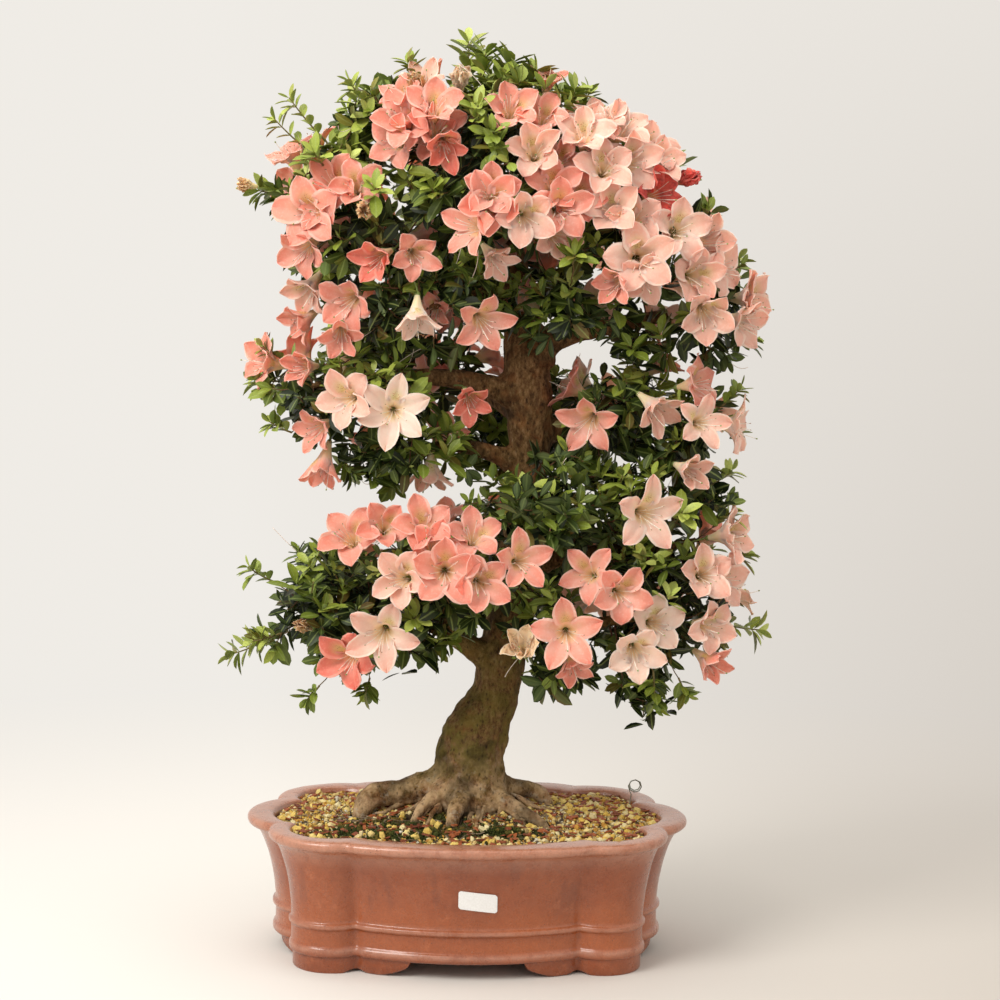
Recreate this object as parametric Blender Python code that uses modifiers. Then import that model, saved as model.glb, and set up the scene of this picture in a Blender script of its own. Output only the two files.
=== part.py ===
"""Azalea bonsai in full bloom, in a lobed stoneware pot with bands and bracket feet.

Metres, +Z up, the front at -Y. The tree is laid out about the middle of the pot, with
the feet at z = 0. At the end everything hangs from one empty that brings the middle of
the whole plant's footprint to the origin.
"""
import math

import bmesh
import bpy
from mathutils import Matrix, Vector

# Pot: the sizes over its lip and the parts of its height
POT_WIDTH = 0.450
POT_DEPTH = 0.325
POT_HEIGHT = 0.138
FOOT_HEIGHT = 0.016
FLOOR_TOP = 0.026
# The lip's creases, and how far each moves in for every metre the wall stands in
SIDE_CREASE = Vector((0.199, 0.059))
FRONT_CREASE = Vector((0.121, 0.141))
SIDE_CREASE_SHIFT = Vector((0.95, 0.20))
FRONT_CREASE_SHIFT = Vector((0.32, 1.18))
CORNER_BULGE = 0.026
CORNER_BULGE_GROWTH = 0.16
LOBE_STEPS = {"side": 6, "corner": 8, "front": 10}
CORNERS = ((1, 1), (-1, 1), (-1, -1), (1, -1))

# Drainage holes
HOLE_X = 0.090
HOLE_RADIUS = 0.015
HOLE_SEGMENTS = 16
HOLE_CUT = 0.040

# Feet: the faces they keep to, where they end, their scrolls and the rise at a crease
FOOT_INSET = (0.0315, 0.0440)
FOOT_OVERLAP = 0.005
FOOT_FRONT_END = 0.055
FOOT_SIDE_END = 0.024
SCROLL_NOTCH = 0.004
SCROLL_LENGTH = 0.033
SCROLL_RISE = 0.009
SCROLL_SLOPE = 1.75
CREASE_RISE = 0.003
CREASE_RISE_WIDTH = 0.011

# Heights of the soil's edge and of its underside
SOIL_EDGE = 0.1305
SOIL_BOTTOM = 0.0302

# How far the outer face stands in from the lip's outline, and at what height
OUTER_PROFILE = (
    (0.0300, FOOT_HEIGHT),
    (0.0266, 0.0185),
    (0.0264, 0.0240),
    (0.0290, 0.0280),
    (0.0292, 0.0425),
    (0.0264, 0.0458),
    (0.0264, 0.0490),
    (0.0290, 0.0520),
    (0.0268, 0.0730),
    (0.0230, 0.0920),
    (0.0180, 0.1080),
    (0.0125, 0.1200),
    (0.0070, 0.1262),
    (0.0018, 0.1288),
    (0.0000, 0.1330),
    (0.0025, 0.1366),
    (0.0080, POT_HEIGHT),
)
# The same for the inner face, from the lip down to the floor
INNER_PROFILE = (
    (0.0230, POT_HEIGHT),
    (0.0276, 0.134),
    (0.0286, SOIL_EDGE),
    (0.0340, 0.100),
    (0.0390, 0.055),
    (0.0420, 0.038),
    (0.0472, SOIL_BOTTOM),
    (0.0500, FLOOR_TOP),
)

# Soil
SOIL_MOUND = 0.019
MOUND_SPREAD = Vector((0.110, 0.080))
SOIL_HEIGHTS = (SOIL_BOTTOM, 0.038, 0.055, 0.100)
SOIL_ROOM = 0.0015
SURFACE_SHARES = (1.0, 0.75, 0.5, 0.25)

# Moss cushions: the middle of each and its half sizes
MOSS = {
    "moss_left": ((-0.070, -0.095), (0.036, 0.016, 0.0040)),
    "moss_right": ((0.030, -0.085), (0.026, 0.012, 0.0036)),
}
MOSS_GAP = 0.0004

# Drainage mesh and its clips
MESH_SIZE = 0.045
MESH_CELLS = 9
MESH_THICKNESS = 0.0015
CLIP_RADIUS = 0.0007
CLIP_LEG = 0.018

# Room between pieces that touch, and round the wood
GAP = 0.0003
WOOD_ROOM = 0.0042
FOLIAGE_GAP = 0.0012

# How finely the wood is joined, and the shares of its faces that are kept
WOOD_VOXEL = 0.004
WOOD_SHARE = 0.075
WOOD_ROOM_SHARE = 0.045

# Blank label on the front, and the bent wire in the soil
LABEL_SIZE = (0.038, 0.019)
LABEL_MIDDLE = (0.009, 0.0805)
LABEL_TURN = 0.12
LABEL_COLUMNS = (0.0, 0.02, 0.06, 0.25, 0.50, 0.75, 0.94, 0.98, 1.0)
LABEL_CORNERS = {0: 0.12, 1: 0.05, 2: 0.0}
PIN_PLACE = (0.170, 0.055)
PIN_RADIUS = 0.0006
PIN_STEM = Vector((0.002, 0.0, 0.014))
PIN_LOOP_MIDDLE = Vector((0.006, 0.0, 0.022))
PIN_LOOP_RADIUS = 0.0074
PIN_LOOP_START = 220
PIN_LOOP_STEP = 45
PIN_LOOP_STEPS = 18
PIN_LOOP_TIGHTENING = 0.00012
PIN_LOOP_PITCH = 0.0005

# Wood: each run is a list of (x, y, z, radius)
WOOD_RUNS = {
    "trunk": (
        (0.002, 0.000, 0.112, 0.044),
        (0.000, 0.000, 0.162, 0.042),
        (0.001, 0.000, 0.190, 0.037),
        (0.009, 0.000, 0.224, 0.034),
        (0.025, 0.000, 0.260, 0.0255),
        (0.033, 0.000, 0.302, 0.0250),
        (0.042, 0.004, 0.370, 0.0225),
        (0.053, 0.002, 0.450, 0.0205),
        (0.056, 0.000, 0.520, 0.0215),
        (0.055, 0.000, 0.565, 0.0255),
        (0.050, 0.000, 0.610, 0.0220),
        (0.045, 0.002, 0.660, 0.0175),
        (0.032, 0.000, 0.720, 0.0130),
        (0.015, 0.000, 0.780, 0.0090),
        (0.004, 0.000, 0.840, 0.0055),
    ),
    "root_left": (
        (-0.010, 0.000, 0.172, 0.026),
        (-0.045, -0.004, 0.163, 0.0165),
        (-0.080, -0.008, 0.1585, 0.0135),
        (-0.099, -0.012, 0.1560, 0.0130),
        (-0.108, -0.018, 0.144, 0.0105),
        (-0.111, -0.022, 0.120, 0.0080),
    ),
    "root_left_front": (
        (-0.012, -0.012, 0.174, 0.018),
        (-0.030, -0.030, 0.164, 0.0095),
        (-0.046, -0.040, 0.153, 0.0065),
        (-0.058, -0.048, 0.134, 0.0050),
    ),
    "root_front": (
        (0.000, -0.014, 0.176, 0.018),
        (-0.008, -0.040, 0.160, 0.0115),
        (-0.015, -0.056, 0.1485, 0.0085),
        (-0.019, -0.066, 0.128, 0.0060),
    ),
    "root_right_front": (
        (0.012, -0.010, 0.170, 0.018),
        (0.034, -0.032, 0.158, 0.0100),
        (0.056, -0.045, 0.1475, 0.0078),
        (0.075, -0.054, 0.1375, 0.0068),
        (0.085, -0.060, 0.118, 0.0050),
    ),
    "root_right": (
        (0.016, 0.004, 0.166, 0.018),
        (0.046, 0.014, 0.160, 0.0110),
        (0.066, 0.019, 0.158, 0.0095),
        (0.079, 0.023, 0.148, 0.0085),
        (0.085, 0.027, 0.122, 0.0060),
    ),
    "root_back": (
        (0.004, 0.014, 0.172, 0.018),
        (-0.006, 0.042, 0.160, 0.0125),
        (-0.022, 0.066, 0.148, 0.0095),
        (-0.034, 0.084, 0.126, 0.0065),
    ),
    "root_right_back": (
        (0.016, 0.016, 0.168, 0.015),
        (0.040, 0.044, 0.154, 0.0100),
        (0.058, 0.066, 0.138, 0.0075),
        (0.066, 0.078, 0.120, 0.0055),
    ),
    "burl_left": (
        (0.000, 0.000, 0.215, 0.020),
        (-0.018, -0.004, 0.226, 0.0125),
    ),
    "stub_upper": (
        (0.052, -0.008, 0.598, 0.013),
        (0.058, -0.029, 0.603, 0.0075),
    ),
    "stub_side": (
        (0.058, -0.004, 0.600, 0.012),
        (0.079, -0.014, 0.604, 0.0080),
    ),
    "branch_left": (
        (0.050, 0.000, 0.562, 0.017),
        (0.015, -0.006, 0.575, 0.0125),
        (-0.030, -0.016, 0.584, 0.0100),
        (-0.080, -0.030, 0.584, 0.0080),
        (-0.125, -0.038, 0.582, 0.0065),
        (-0.165, -0.040, 0.574, 0.0045),
    ),
    "branch_left_second": (
        (0.054, 0.000, 0.490, 0.014),
        (0.015, -0.012, 0.510, 0.0090),
        (-0.030, -0.024, 0.516, 0.0070),
        (-0.080, -0.036, 0.506, 0.0050),
    ),
    "branch_left_low": (
        (0.030, 0.000, 0.290, 0.016),
        (0.004, -0.012, 0.309, 0.0125),
        (-0.026, -0.028, 0.330, 0.0100),
        (-0.060, -0.034, 0.345, 0.0080),
        (-0.105, -0.028, 0.356, 0.0060),
        (-0.145, -0.020, 0.356, 0.0042),
    ),
    "branch_front_low": (
        (-0.022, -0.026, 0.326, 0.008),
        (-0.026, -0.058, 0.352, 0.0062),
        (-0.022, -0.086, 0.380, 0.0045),
    ),
    "branch_right_lowest": (
        (0.036, 0.000, 0.305, 0.014),
        (0.066, -0.018, 0.326, 0.0100),
        (0.110, -0.034, 0.338, 0.0078),
        (0.150, -0.040, 0.345, 0.0060),
        (0.185, -0.040, 0.350, 0.0042),
    ),
    "branch_right_low": (
        (0.046, 0.002, 0.385, 0.014),
        (0.085, -0.010, 0.402, 0.0105),
        (0.130, -0.024, 0.412, 0.0080),
        (0.185, -0.030, 0.416, 0.0060),
        (0.228, -0.030, 0.427, 0.0040),
    ),
    "branch_right_middle": (
        (0.054, 0.002, 0.515, 0.015),
        (0.092, 0.012, 0.536, 0.0105),
        (0.140, 0.018, 0.552, 0.0080),
        (0.185, 0.008, 0.546, 0.0060),
        (0.222, -0.004, 0.540, 0.0040),
    ),
    "branch_crown_right": (
        (0.052, 0.000, 0.612, 0.016),
        (0.095, -0.006, 0.630, 0.0120),
        (0.145, -0.008, 0.640, 0.0095),
        (0.195, -0.002, 0.650, 0.0070),
        (0.245, 0.000, 0.660, 0.0042),
    ),
    "branch_crown_right_up": (
        (0.105, -0.006, 0.632, 0.010),
        (0.130, -0.018, 0.672, 0.0075),
        (0.150, -0.020, 0.720, 0.0055),
        (0.160, -0.018, 0.755, 0.0040),
    ),
    "branch_crown_left": (
        (0.048, 0.000, 0.630, 0.014),
        (0.010, -0.012, 0.664, 0.0105),
        (-0.045, -0.018, 0.694, 0.0080),
        (-0.100, -0.018, 0.716, 0.0060),
        (-0.150, -0.016, 0.732, 0.0042),
    ),
    "branch_front_crown": (
        (0.044, -0.004, 0.655, 0.011),
        (0.000, -0.042, 0.662, 0.0070),
        (-0.050, -0.062, 0.655, 0.0045),
    ),
    "branch_front_middle": (
        (0.052, -0.002, 0.425, 0.012),
        (0.055, -0.040, 0.440, 0.0070),
        (0.058, -0.072, 0.452, 0.0045),
    ),
    "branch_back_low": (
        (0.038, 0.002, 0.335, 0.014),
        (0.034, 0.050, 0.355, 0.0090),
        (0.030, 0.095, 0.370, 0.0062),
        (0.020, 0.130, 0.380, 0.0042),
    ),
    "branch_back_middle": (
        (0.055, 0.002, 0.470, 0.013),
        (0.062, 0.050, 0.495, 0.0085),
        (0.066, 0.095, 0.515, 0.0060),
        (0.070, 0.125, 0.525, 0.0042),
    ),
    "branch_back_left": (
        (0.052, 0.002, 0.545, 0.013),
        (0.005, 0.044, 0.570, 0.0085),
        (-0.045, 0.080, 0.590, 0.0060),
        (-0.075, 0.096, 0.598, 0.0042),
    ),
    "branch_back_crown": (
        (0.046, 0.000, 0.650, 0.012),
        (0.044, 0.048, 0.690, 0.0080),
        (0.036, 0.095, 0.720, 0.0055),
        (0.030, 0.120, 0.740, 0.0042),
    ),
}

# Foliage masses: centre and the three half sizes
FOLIAGE = {
    "crown": ((0.012, -0.020, 0.795), (0.115, 0.125, 0.095)),
    "crown_left": ((-0.130, -0.015, 0.738), (0.085, 0.105, 0.085)),
    "crown_right": ((0.150, -0.015, 0.745), (0.085, 0.105, 0.085)),
    "crown_back": ((0.030, 0.125, 0.735), (0.130, 0.070, 0.100)),
    "far_right": ((0.235, 0.000, 0.655), (0.050, 0.080, 0.050)),
    "upper_front": ((-0.045, -0.072, 0.660), (0.075, 0.050, 0.050)),
    "upper_right_front": ((0.090, -0.050, 0.655), (0.060, 0.045, 0.040)),
    "middle_left": ((-0.130, -0.030, 0.565), (0.085, 0.085, 0.055)),
    "middle_left_low": ((-0.070, -0.040, 0.510), (0.065, 0.050, 0.035)),
    "middle_back_left": ((-0.065, 0.100, 0.600), (0.090, 0.065, 0.065)),
    "middle_back": ((0.070, 0.130, 0.530), (0.085, 0.055, 0.060)),
    "middle_right": ((0.145, 0.020, 0.560), (0.060, 0.075, 0.055)),
    "middle_far_right": ((0.220, -0.010, 0.530), (0.048, 0.065, 0.052)),
    "centre_front": ((0.070, -0.072, 0.455), (0.075, 0.042, 0.042)),
    "low_left": ((-0.145, -0.015, 0.350), (0.085, 0.090, 0.070)),
    "low_front": ((-0.025, -0.092, 0.390), (0.085, 0.055, 0.045)),
    "low_right": ((0.190, -0.020, 0.370), (0.080, 0.090, 0.080)),
    "low_centre_right": ((0.085, -0.080, 0.345), (0.050, 0.050, 0.048)),
    "low_back": ((0.030, 0.130, 0.380), (0.110, 0.060, 0.065)),
}

# Long shoots: the point where each leaves its foliage, and its tip
SHOOTS = {
    "top": ((-0.012, -0.006, 0.874), (-0.012, -0.002, 0.941)),
    "left_upper": ((-0.196, -0.010, 0.762), (-0.238, -0.004, 0.770)),
    "left_middle": ((-0.198, -0.020, 0.578), (-0.238, -0.010, 0.582)),
    "left_low": ((-0.202, -0.010, 0.322), (-0.260, 0.000, 0.290)),
    "right_low": ((0.252, -0.020, 0.344), (0.311, -0.010, 0.328)),
}

# Flowers: the middle of the open mouth, the way it faces, its size and its tone
FLOWERS = {
    "crown_left_top": ((-0.075, -0.112, 0.836), (-0.2, -0.9, 0.4), 1.0, "coral"),
    "crown_front": ((0.010, -0.158, 0.756), (0.0, -1.0, 0.1), 1.0, "coral"),
    "crown_front_right": ((0.078, -0.146, 0.752), (0.2, -1.0, 0.0), 1.0, "coral"),
    "crown_right_top": ((0.106, -0.100, 0.828), (0.1, -0.8, 0.5), 1.0, "pale"),
    "crown_right_outer": ((0.168, -0.072, 0.820), (0.4, -0.6, 0.6), 1.0, "pale"),
    "crown_right_front": ((0.155, -0.134, 0.706), (0.1, -1.0, 0.0), 1.1, "pale"),
    "right_shoulder": ((0.226, -0.078, 0.726), (0.6, -0.8, 0.2), 1.0, "pale"),
    "far_right": ((0.282, -0.030, 0.668), (0.9, -0.4, 0.0), 1.0, "pale"),
    "left_shoulder": ((-0.166, -0.112, 0.744), (-0.3, -0.9, 0.0), 1.1, "coral"),
    "left_under": ((-0.170, -0.064, 0.664), (-0.5, -0.5, -0.7), 1.0, "pale"),
    "hanging_front": ((-0.058, -0.128, 0.640), (0.0, -0.5, -1.0), 0.9, "pale"),
    "upper_front": ((0.008, -0.124, 0.640), (0.3, -0.8, -0.3), 1.0, "coral"),
    "middle_left_front": ((-0.080, -0.128, 0.556), (0.0, -1.0, 0.0), 1.1, "white"),
    "middle_left_outer": ((-0.214, -0.060, 0.600), (-0.9, -0.5, 0.2), 1.0, "coral"),
    "middle_left_hanging": ((-0.150, -0.072, 0.490), (-0.2, -0.4, -0.9), 1.0, "pale"),
    "middle_right_inner": ((0.108, -0.082, 0.542), (-0.3, -0.8, -0.3), 1.0, "coral"),
    "middle_right_outer": ((0.270, -0.034, 0.540), (1.0, -0.3, -0.1), 1.0, "pale"),
    "right_front": ((0.172, -0.124, 0.460), (0.4, -0.9, 0.0), 1.1, "pale"),
    "low_left_upper": ((-0.122, -0.104, 0.436), (-0.2, -0.8, 0.5), 1.0, "coral"),
    "low_front": ((-0.028, -0.168, 0.408), (0.0, -1.0, 0.1), 1.1, "coral"),
    "low_left_front": ((-0.088, -0.140, 0.338), (-0.1, -1.0, -0.2), 1.1, "pale"),
    "low_centre_right": ((0.090, -0.154, 0.346), (0.0, -1.0, 0.0), 1.1, "pale"),
    "low_right_outer": ((0.256, -0.070, 0.392), (0.8, -0.6, 0.1), 1.0, "pale"),
    "back_crown": ((0.040, 0.200, 0.770), (0.0, 0.9, 0.3), 1.0, "coral"),
    "back_low": ((0.020, 0.196, 0.400), (0.0, 1.0, 0.2), 1.0, "coral"),
}
FLOWER_DEPTH = 0.034
FLOWER_WALL = 0.0009
# Rings of a flower: height over the stalk, radius at a notch and at a petal's tip
FLOWER_RINGS = (
    (0.000, 0.0030, 0.0030),
    (0.018, 0.0080, 0.0090),
    (0.034, 0.0175, 0.0330),
)
PETALS = 5
# The room a flower takes in the foliage: where it starts and ends, and its radius at two heights
ROOM_START = -0.002
ROOM_END = 0.075
ROOM_FOOT_RADIUS = 0.005
ROOM_MOUTH_RADIUS = 0.037
ROOM_SEGMENTS = 10
# How near a mass a flower or a shoot must be to need room in it
ROOM_REACH = 0.050

# Long shoots: the radius at equal steps from foot to tip, and the room round them
SHOOT_RADII = (0.004, 0.009, 0.0075, 0.0015)
SHOOT_ROOM = 0.001

COLOURS = {
    "stoneware": ((0.36, 0.125, 0.065), 0.42),
    "granules": ((0.55, 0.38, 0.14), 0.95),
    "moss": ((0.06, 0.09, 0.025), 1.0),
    "bark": ((0.115, 0.075, 0.048), 0.85),
    "leaf": ((0.045, 0.105, 0.022), 0.45),
    "young_leaf": ((0.16, 0.26, 0.04), 0.45),
    "coral": ((0.86, 0.24, 0.17), 0.55),
    "pale": ((0.90, 0.46, 0.38), 0.55),
    "white": ((0.90, 0.72, 0.64), 0.55),
    "plastic_mesh": ((0.02, 0.02, 0.02), 0.6),
    "wire": ((0.35, 0.33, 0.30), 0.4),
    "label": ((0.85, 0.85, 0.83), 0.5),
}


# ---------------------------------------------------------------- scene and helpers

def clear_scene():
    for old in list(bpy.data.objects):
        bpy.data.objects.remove(old, do_unlink=True)


def new_collection(name):
    collection = bpy.data.collections.new(name)
    bpy.context.scene.collection.children.link(collection)
    return collection


def material(name):
    """The Principled material of that name, made once."""
    found = bpy.data.materials.get(name)
    if found:
        return found
    colour, roughness = COLOURS[name]
    made = bpy.data.materials.new(name)
    made.use_nodes = True
    shader = made.node_tree.nodes["Principled BSDF"]
    shader.inputs["Base Color"].default_value = (*colour, 1.0)
    shader.inputs["Roughness"].default_value = roughness
    shader.inputs["Metallic"].default_value = 1.0 if name == "wire" else 0.0
    return made


def add_piece(name, mesh, colour):
    """A named sub-part in the plant's collection."""
    piece = bpy.data.objects.new(name, mesh)
    PLANT.objects.link(piece)
    piece.parent = ROOT
    if not mesh.materials:
        mesh.materials.append(material(colour))
    return piece


def add_cutter(name, mesh):
    cutter = bpy.data.objects.new(name, mesh)
    CUTTERS.objects.link(cutter)
    cutter.parent = ROOT
    cutter.hide_render = True
    cutter.display_type = "WIRE"
    return cutter


def to_mesh(name, form, smooth_angle=50.0):
    """Finish a bmesh: faces out, smooth but for sharp edges."""
    bmesh.ops.recalc_face_normals(form, faces=form.faces[:])
    mesh = bpy.data.meshes.new(name)
    form.to_mesh(mesh)
    form.free()
    mesh.shade_smooth()
    mesh.set_sharp_from_angle(angle=math.radians(smooth_angle))
    return mesh


def loft(name, rings, smooth_angle=50.0):
    """A closed skin over rings of equal length, with a face over each end."""
    form = bmesh.new()
    rows = [[form.verts.new(point) for point in ring] for ring in rings]
    for lower, upper in zip(rows, rows[1:]):
        for k in range(len(lower)):
            after = (k + 1) % len(lower)
            form.faces.new((lower[k], lower[after], upper[after], upper[k]))
    form.faces.new(rows[0])
    form.faces.new(rows[-1])
    return to_mesh(name, form, smooth_angle)


def boolean(target, other, operation="DIFFERENCE"):
    step = target.modifiers.new(operation.title(), "BOOLEAN")
    step.operation = operation
    step.solver = "EXACT"
    step.object = other


def lengthened(run, extra):
    """The same run with both of its ends moved out by extra."""
    ends = []
    for end, neighbour in ((run[0], run[1]), (run[-1], run[-2])):
        outward = (Vector(end[:3]) - Vector(neighbour[:3])).normalized()
        ends.append((*(Vector(end[:3]) + outward * extra), end[3]))
    return [ends[0], *run[1:-1], ends[1]]


def tube(name, runs, spread=0.0, kind="BEZIER", resolution=3):
    """Round tubes with closed ends through runs of (x, y, z, radius)."""
    curve = bpy.data.curves.new(name, "CURVE")
    curve.dimensions = "3D"
    curve.bevel_depth = 1.0
    curve.bevel_resolution = resolution
    curve.resolution_u = 4
    curve.use_fill_caps = True
    for run in runs:
        if spread:
            run = lengthened(run, spread)
        spline = curve.splines.new(kind)
        knots = spline.bezier_points if kind == "BEZIER" else spline.points
        knots.add(len(run) - 1)
        for knot, (x, y, z, radius) in zip(knots, run):
            knot.co = (x, y, z) if kind == "BEZIER" else (x, y, z, 1.0)
            knot.radius = radius + spread
            if kind == "BEZIER":
                knot.handle_left_type = "AUTO"
                knot.handle_right_type = "AUTO"
    guide = bpy.data.objects.new(name, curve)
    CUTTERS.objects.link(guide)
    view = bpy.context.evaluated_depsgraph_get()
    mesh = bpy.data.meshes.new_from_object(guide.evaluated_get(view))
    bpy.data.objects.remove(guide, do_unlink=True)
    form = bmesh.new()
    form.from_mesh(mesh)
    bmesh.ops.remove_doubles(form, verts=form.verts[:], dist=0.00002)
    bmesh.ops.recalc_face_normals(form, faces=form.faces[:])
    form.to_mesh(mesh)
    form.free()
    mesh.name = name
    mesh.shade_smooth()
    return mesh


# ---------------------------------------------------------------- pot

def arc(start, end, bulge, steps):
    """Points from start up to end along the arc that stands out by bulge."""
    chord = end - start
    half = chord.length / 2
    radius = (half * half + bulge * bulge) / (2 * bulge)
    outward = Vector((chord.y, -chord.x)).normalized()
    centre = (start + end) / 2 + outward * (bulge - radius)
    sweep = 2 * math.asin(half / radius)
    spoke = start - centre
    points = []
    for k in range(steps):
        turned = spoke.copy()
        turned.rotate(Matrix.Rotation(sweep * k / steps, 2))
        points.append(centre + turned)
    return points


def pot_outline(inset):
    """The pot from above where its wall stands in by inset: eight lobes that meet in creases."""
    side = SIDE_CREASE - SIDE_CREASE_SHIFT * inset
    front = FRONT_CREASE - FRONT_CREASE_SHIFT * inset
    creases = []
    for sx, sy in CORNERS:
        pair = [Vector((sx * side.x, sy * side.y)), Vector((sx * front.x, sy * front.y))]
        creases += pair if sx * sy > 0 else pair[::-1]
    side_bulge = POT_WIDTH / 2 - inset - side.x
    front_bulge = POT_DEPTH / 2 - inset - front.y
    corner_bulge = CORNER_BULGE + CORNER_BULGE_GROWTH * inset
    lobes = (("corner", corner_bulge), ("front", front_bulge), ("corner", corner_bulge),
             ("side", side_bulge)) * 2
    points = []
    for k, (kind, bulge) in enumerate(lobes):
        points += arc(creases[k], creases[(k + 1) % len(creases)], bulge, LOBE_STEPS[kind])
    return points


def ring_at(inset, height):
    """The pot's outline at one height, where its wall stands in by inset."""
    return [Vector((point.x, point.y, height)) for point in pot_outline(inset)]


def profile_inset(profile, height):
    """How far a face of the pot stands in at a height, between the profile's points."""
    points = sorted((z, inset) for inset, z in profile)
    for (z0, d0), (z1, d1) in zip(points, points[1:]):
        if z0 <= height <= z1:
            return d0 + (d1 - d0) * (height - z0) / (z1 - z0)
    return points[-1][1]


def foot_drop(distance):
    """Height of a foot's lower edge at a distance from its end: a scroll, then flat."""
    if distance < SCROLL_NOTCH:
        return FOOT_HEIGHT - distance * SCROLL_SLOPE
    if distance < SCROLL_LENGTH:
        return SCROLL_RISE * (1 - (distance - SCROLL_NOTCH) / (SCROLL_LENGTH - SCROLL_NOTCH)) ** 1.5
    return 0.0


def crease_lift(x):
    """How far a foot's lower edge lifts off the ground near the front crease."""
    crease = FRONT_CREASE.x - FRONT_CREASE_SHIFT.x * FOOT_INSET[0]
    away = min(abs(abs(x) - crease) / CREASE_RISE_WIDTH, 1.0)
    return CREASE_RISE * (1 - away * away)


def foot_mesh(name, sx, sy):
    """A bracket foot that wraps one corner lobe and runs out in a scroll at both ends."""
    outer, inner = (pot_outline(inset) for inset in FOOT_INSET)
    chosen = [k for k, p in enumerate(outer)
              if p.x * sx > FOOT_FRONT_END and p.y * sy > FOOT_SIDE_END]
    start = next(k for k in chosen if (k - 1) % len(outer) not in chosen)
    order = [(start + k) % len(outer) for k in range(len(chosen))]
    travelled = [0.0]
    for a, b in zip(order, order[1:]):
        travelled.append(travelled[-1] + (outer[b] - outer[a]).length)
    top = FOOT_HEIGHT + FOOT_OVERLAP
    rings = []
    for k, run in zip(order, travelled):
        low = max(foot_drop(min(run, travelled[-1] - run)), crease_lift(outer[k].x))
        rings.append([
            Vector((outer[k].x, outer[k].y, low)),
            Vector((outer[k].x, outer[k].y, top)),
            Vector((inner[k].x, inner[k].y, top)),
            Vector((inner[k].x, inner[k].y, low)),
        ])
    return loft(name, rings)


def make_pot():
    rings = [ring_at(inset, z) for inset, z in OUTER_PROFILE + INNER_PROFILE]
    pot = add_piece("pot", loft("pot", rings, 40.0), "stoneware")
    for sx, sy in CORNERS:
        name = "foot_" + ("right" if sx > 0 else "left") + ("_back" if sy > 0 else "_front")
        boolean(pot, add_cutter(name, foot_mesh(name, sx, sy)), "UNION")
    for side in (-1, 1):
        form = bmesh.new()
        place = Matrix.Translation((side * HOLE_X, 0, FLOOR_TOP))
        bmesh.ops.create_cone(form, cap_ends=True, segments=HOLE_SEGMENTS, radius1=HOLE_RADIUS,
                              radius2=HOLE_RADIUS, depth=HOLE_CUT, matrix=place)
        boolean(pot, add_cutter("drain_hole", to_mesh("drain_hole", form)))


# ---------------------------------------------------------------- in and on the soil

def mound(x, y):
    """Height of the soil: nearly flat at the lip and raised about the trunk."""
    return SOIL_EDGE + SOIL_MOUND * math.exp(-(x / MOUND_SPREAD.x) ** 2 - (y / MOUND_SPREAD.y) ** 2)


def soil_mesh(name, lift=0.0):
    rings = []
    for z in SOIL_HEIGHTS:
        rings.append(ring_at(profile_inset(INNER_PROFILE, z) + SOIL_ROOM, z))
    edge = pot_outline(profile_inset(INNER_PROFILE, SOIL_EDGE) + SOIL_ROOM)
    for share in SURFACE_SHARES:
        ring = [Vector((p.x * share, p.y * share, 0.0)) for p in edge]
        for p in ring:
            p.z = mound(p.x, p.y) + lift
        rings.append(ring)
    return loft(name, rings, 40.0)


def make_soil(thick_wood):
    soil = add_piece("soil", soil_mesh("soil"), "granules")
    boolean(soil, thick_wood)


def make_moss(name, thick_wood, raised_soil):
    """A low cushion of moss that lies on the soil's surface."""
    (x, y), half_size = MOSS[name]
    form = bmesh.new()
    place = Matrix.Translation((x, y, mound(x, y))) @ Matrix.Diagonal((*half_size, 1.0))
    bmesh.ops.create_uvsphere(form, u_segments=14, v_segments=6, radius=1.0, matrix=place)
    moss = add_piece(name, to_mesh(name, form), "moss")
    boolean(moss, raised_soil)
    boolean(moss, thick_wood)


def make_drainage(side_name, side):
    """The plastic mesh over one drainage hole, and the wire clip that holds it."""
    form = bmesh.new()
    centre = Vector((side * HOLE_X, 0.0, FLOOR_TOP + GAP))
    bmesh.ops.create_grid(form, x_segments=MESH_CELLS, y_segments=MESH_CELLS,
                          size=MESH_SIZE / 2, matrix=Matrix.Translation(centre))
    cell = MESH_SIZE / MESH_CELLS
    openings = []
    for face in form.faces:
        column = int((face.calc_center_median().x - centre.x + MESH_SIZE / 2) / cell)
        row = int((face.calc_center_median().y + MESH_SIZE / 2) / cell)
        if column % 2 and row % 2:
            openings.append(face)
    bmesh.ops.delete(form, geom=openings, context="FACES")
    mesh = to_mesh("drainage_mesh_" + side_name, form)
    piece = add_piece("drainage_mesh_" + side_name, mesh, "plastic_mesh")
    sheet = piece.modifiers.new("Sheet", "SOLIDIFY")
    sheet.thickness = MESH_THICKNESS
    sheet.offset = 1.0
    # the clip: flat under the floor, up through two openings and across on the mesh
    leg = cell
    under = FOOT_HEIGHT - CLIP_RADIUS - GAP
    over = FLOOR_TOP + GAP + MESH_THICKNESS + GAP + CLIP_RADIUS
    route = [(-leg - CLIP_LEG, under), (-leg, under), (-leg, over), (leg, over), (leg, under),
             (leg + CLIP_LEG, under)]
    run = [(centre.x + x, cell, z, CLIP_RADIUS) for x, z in route]
    name = "mesh_clip_" + side_name
    add_piece(name, tube(name, [run], kind="POLY", resolution=1), "wire")


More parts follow.
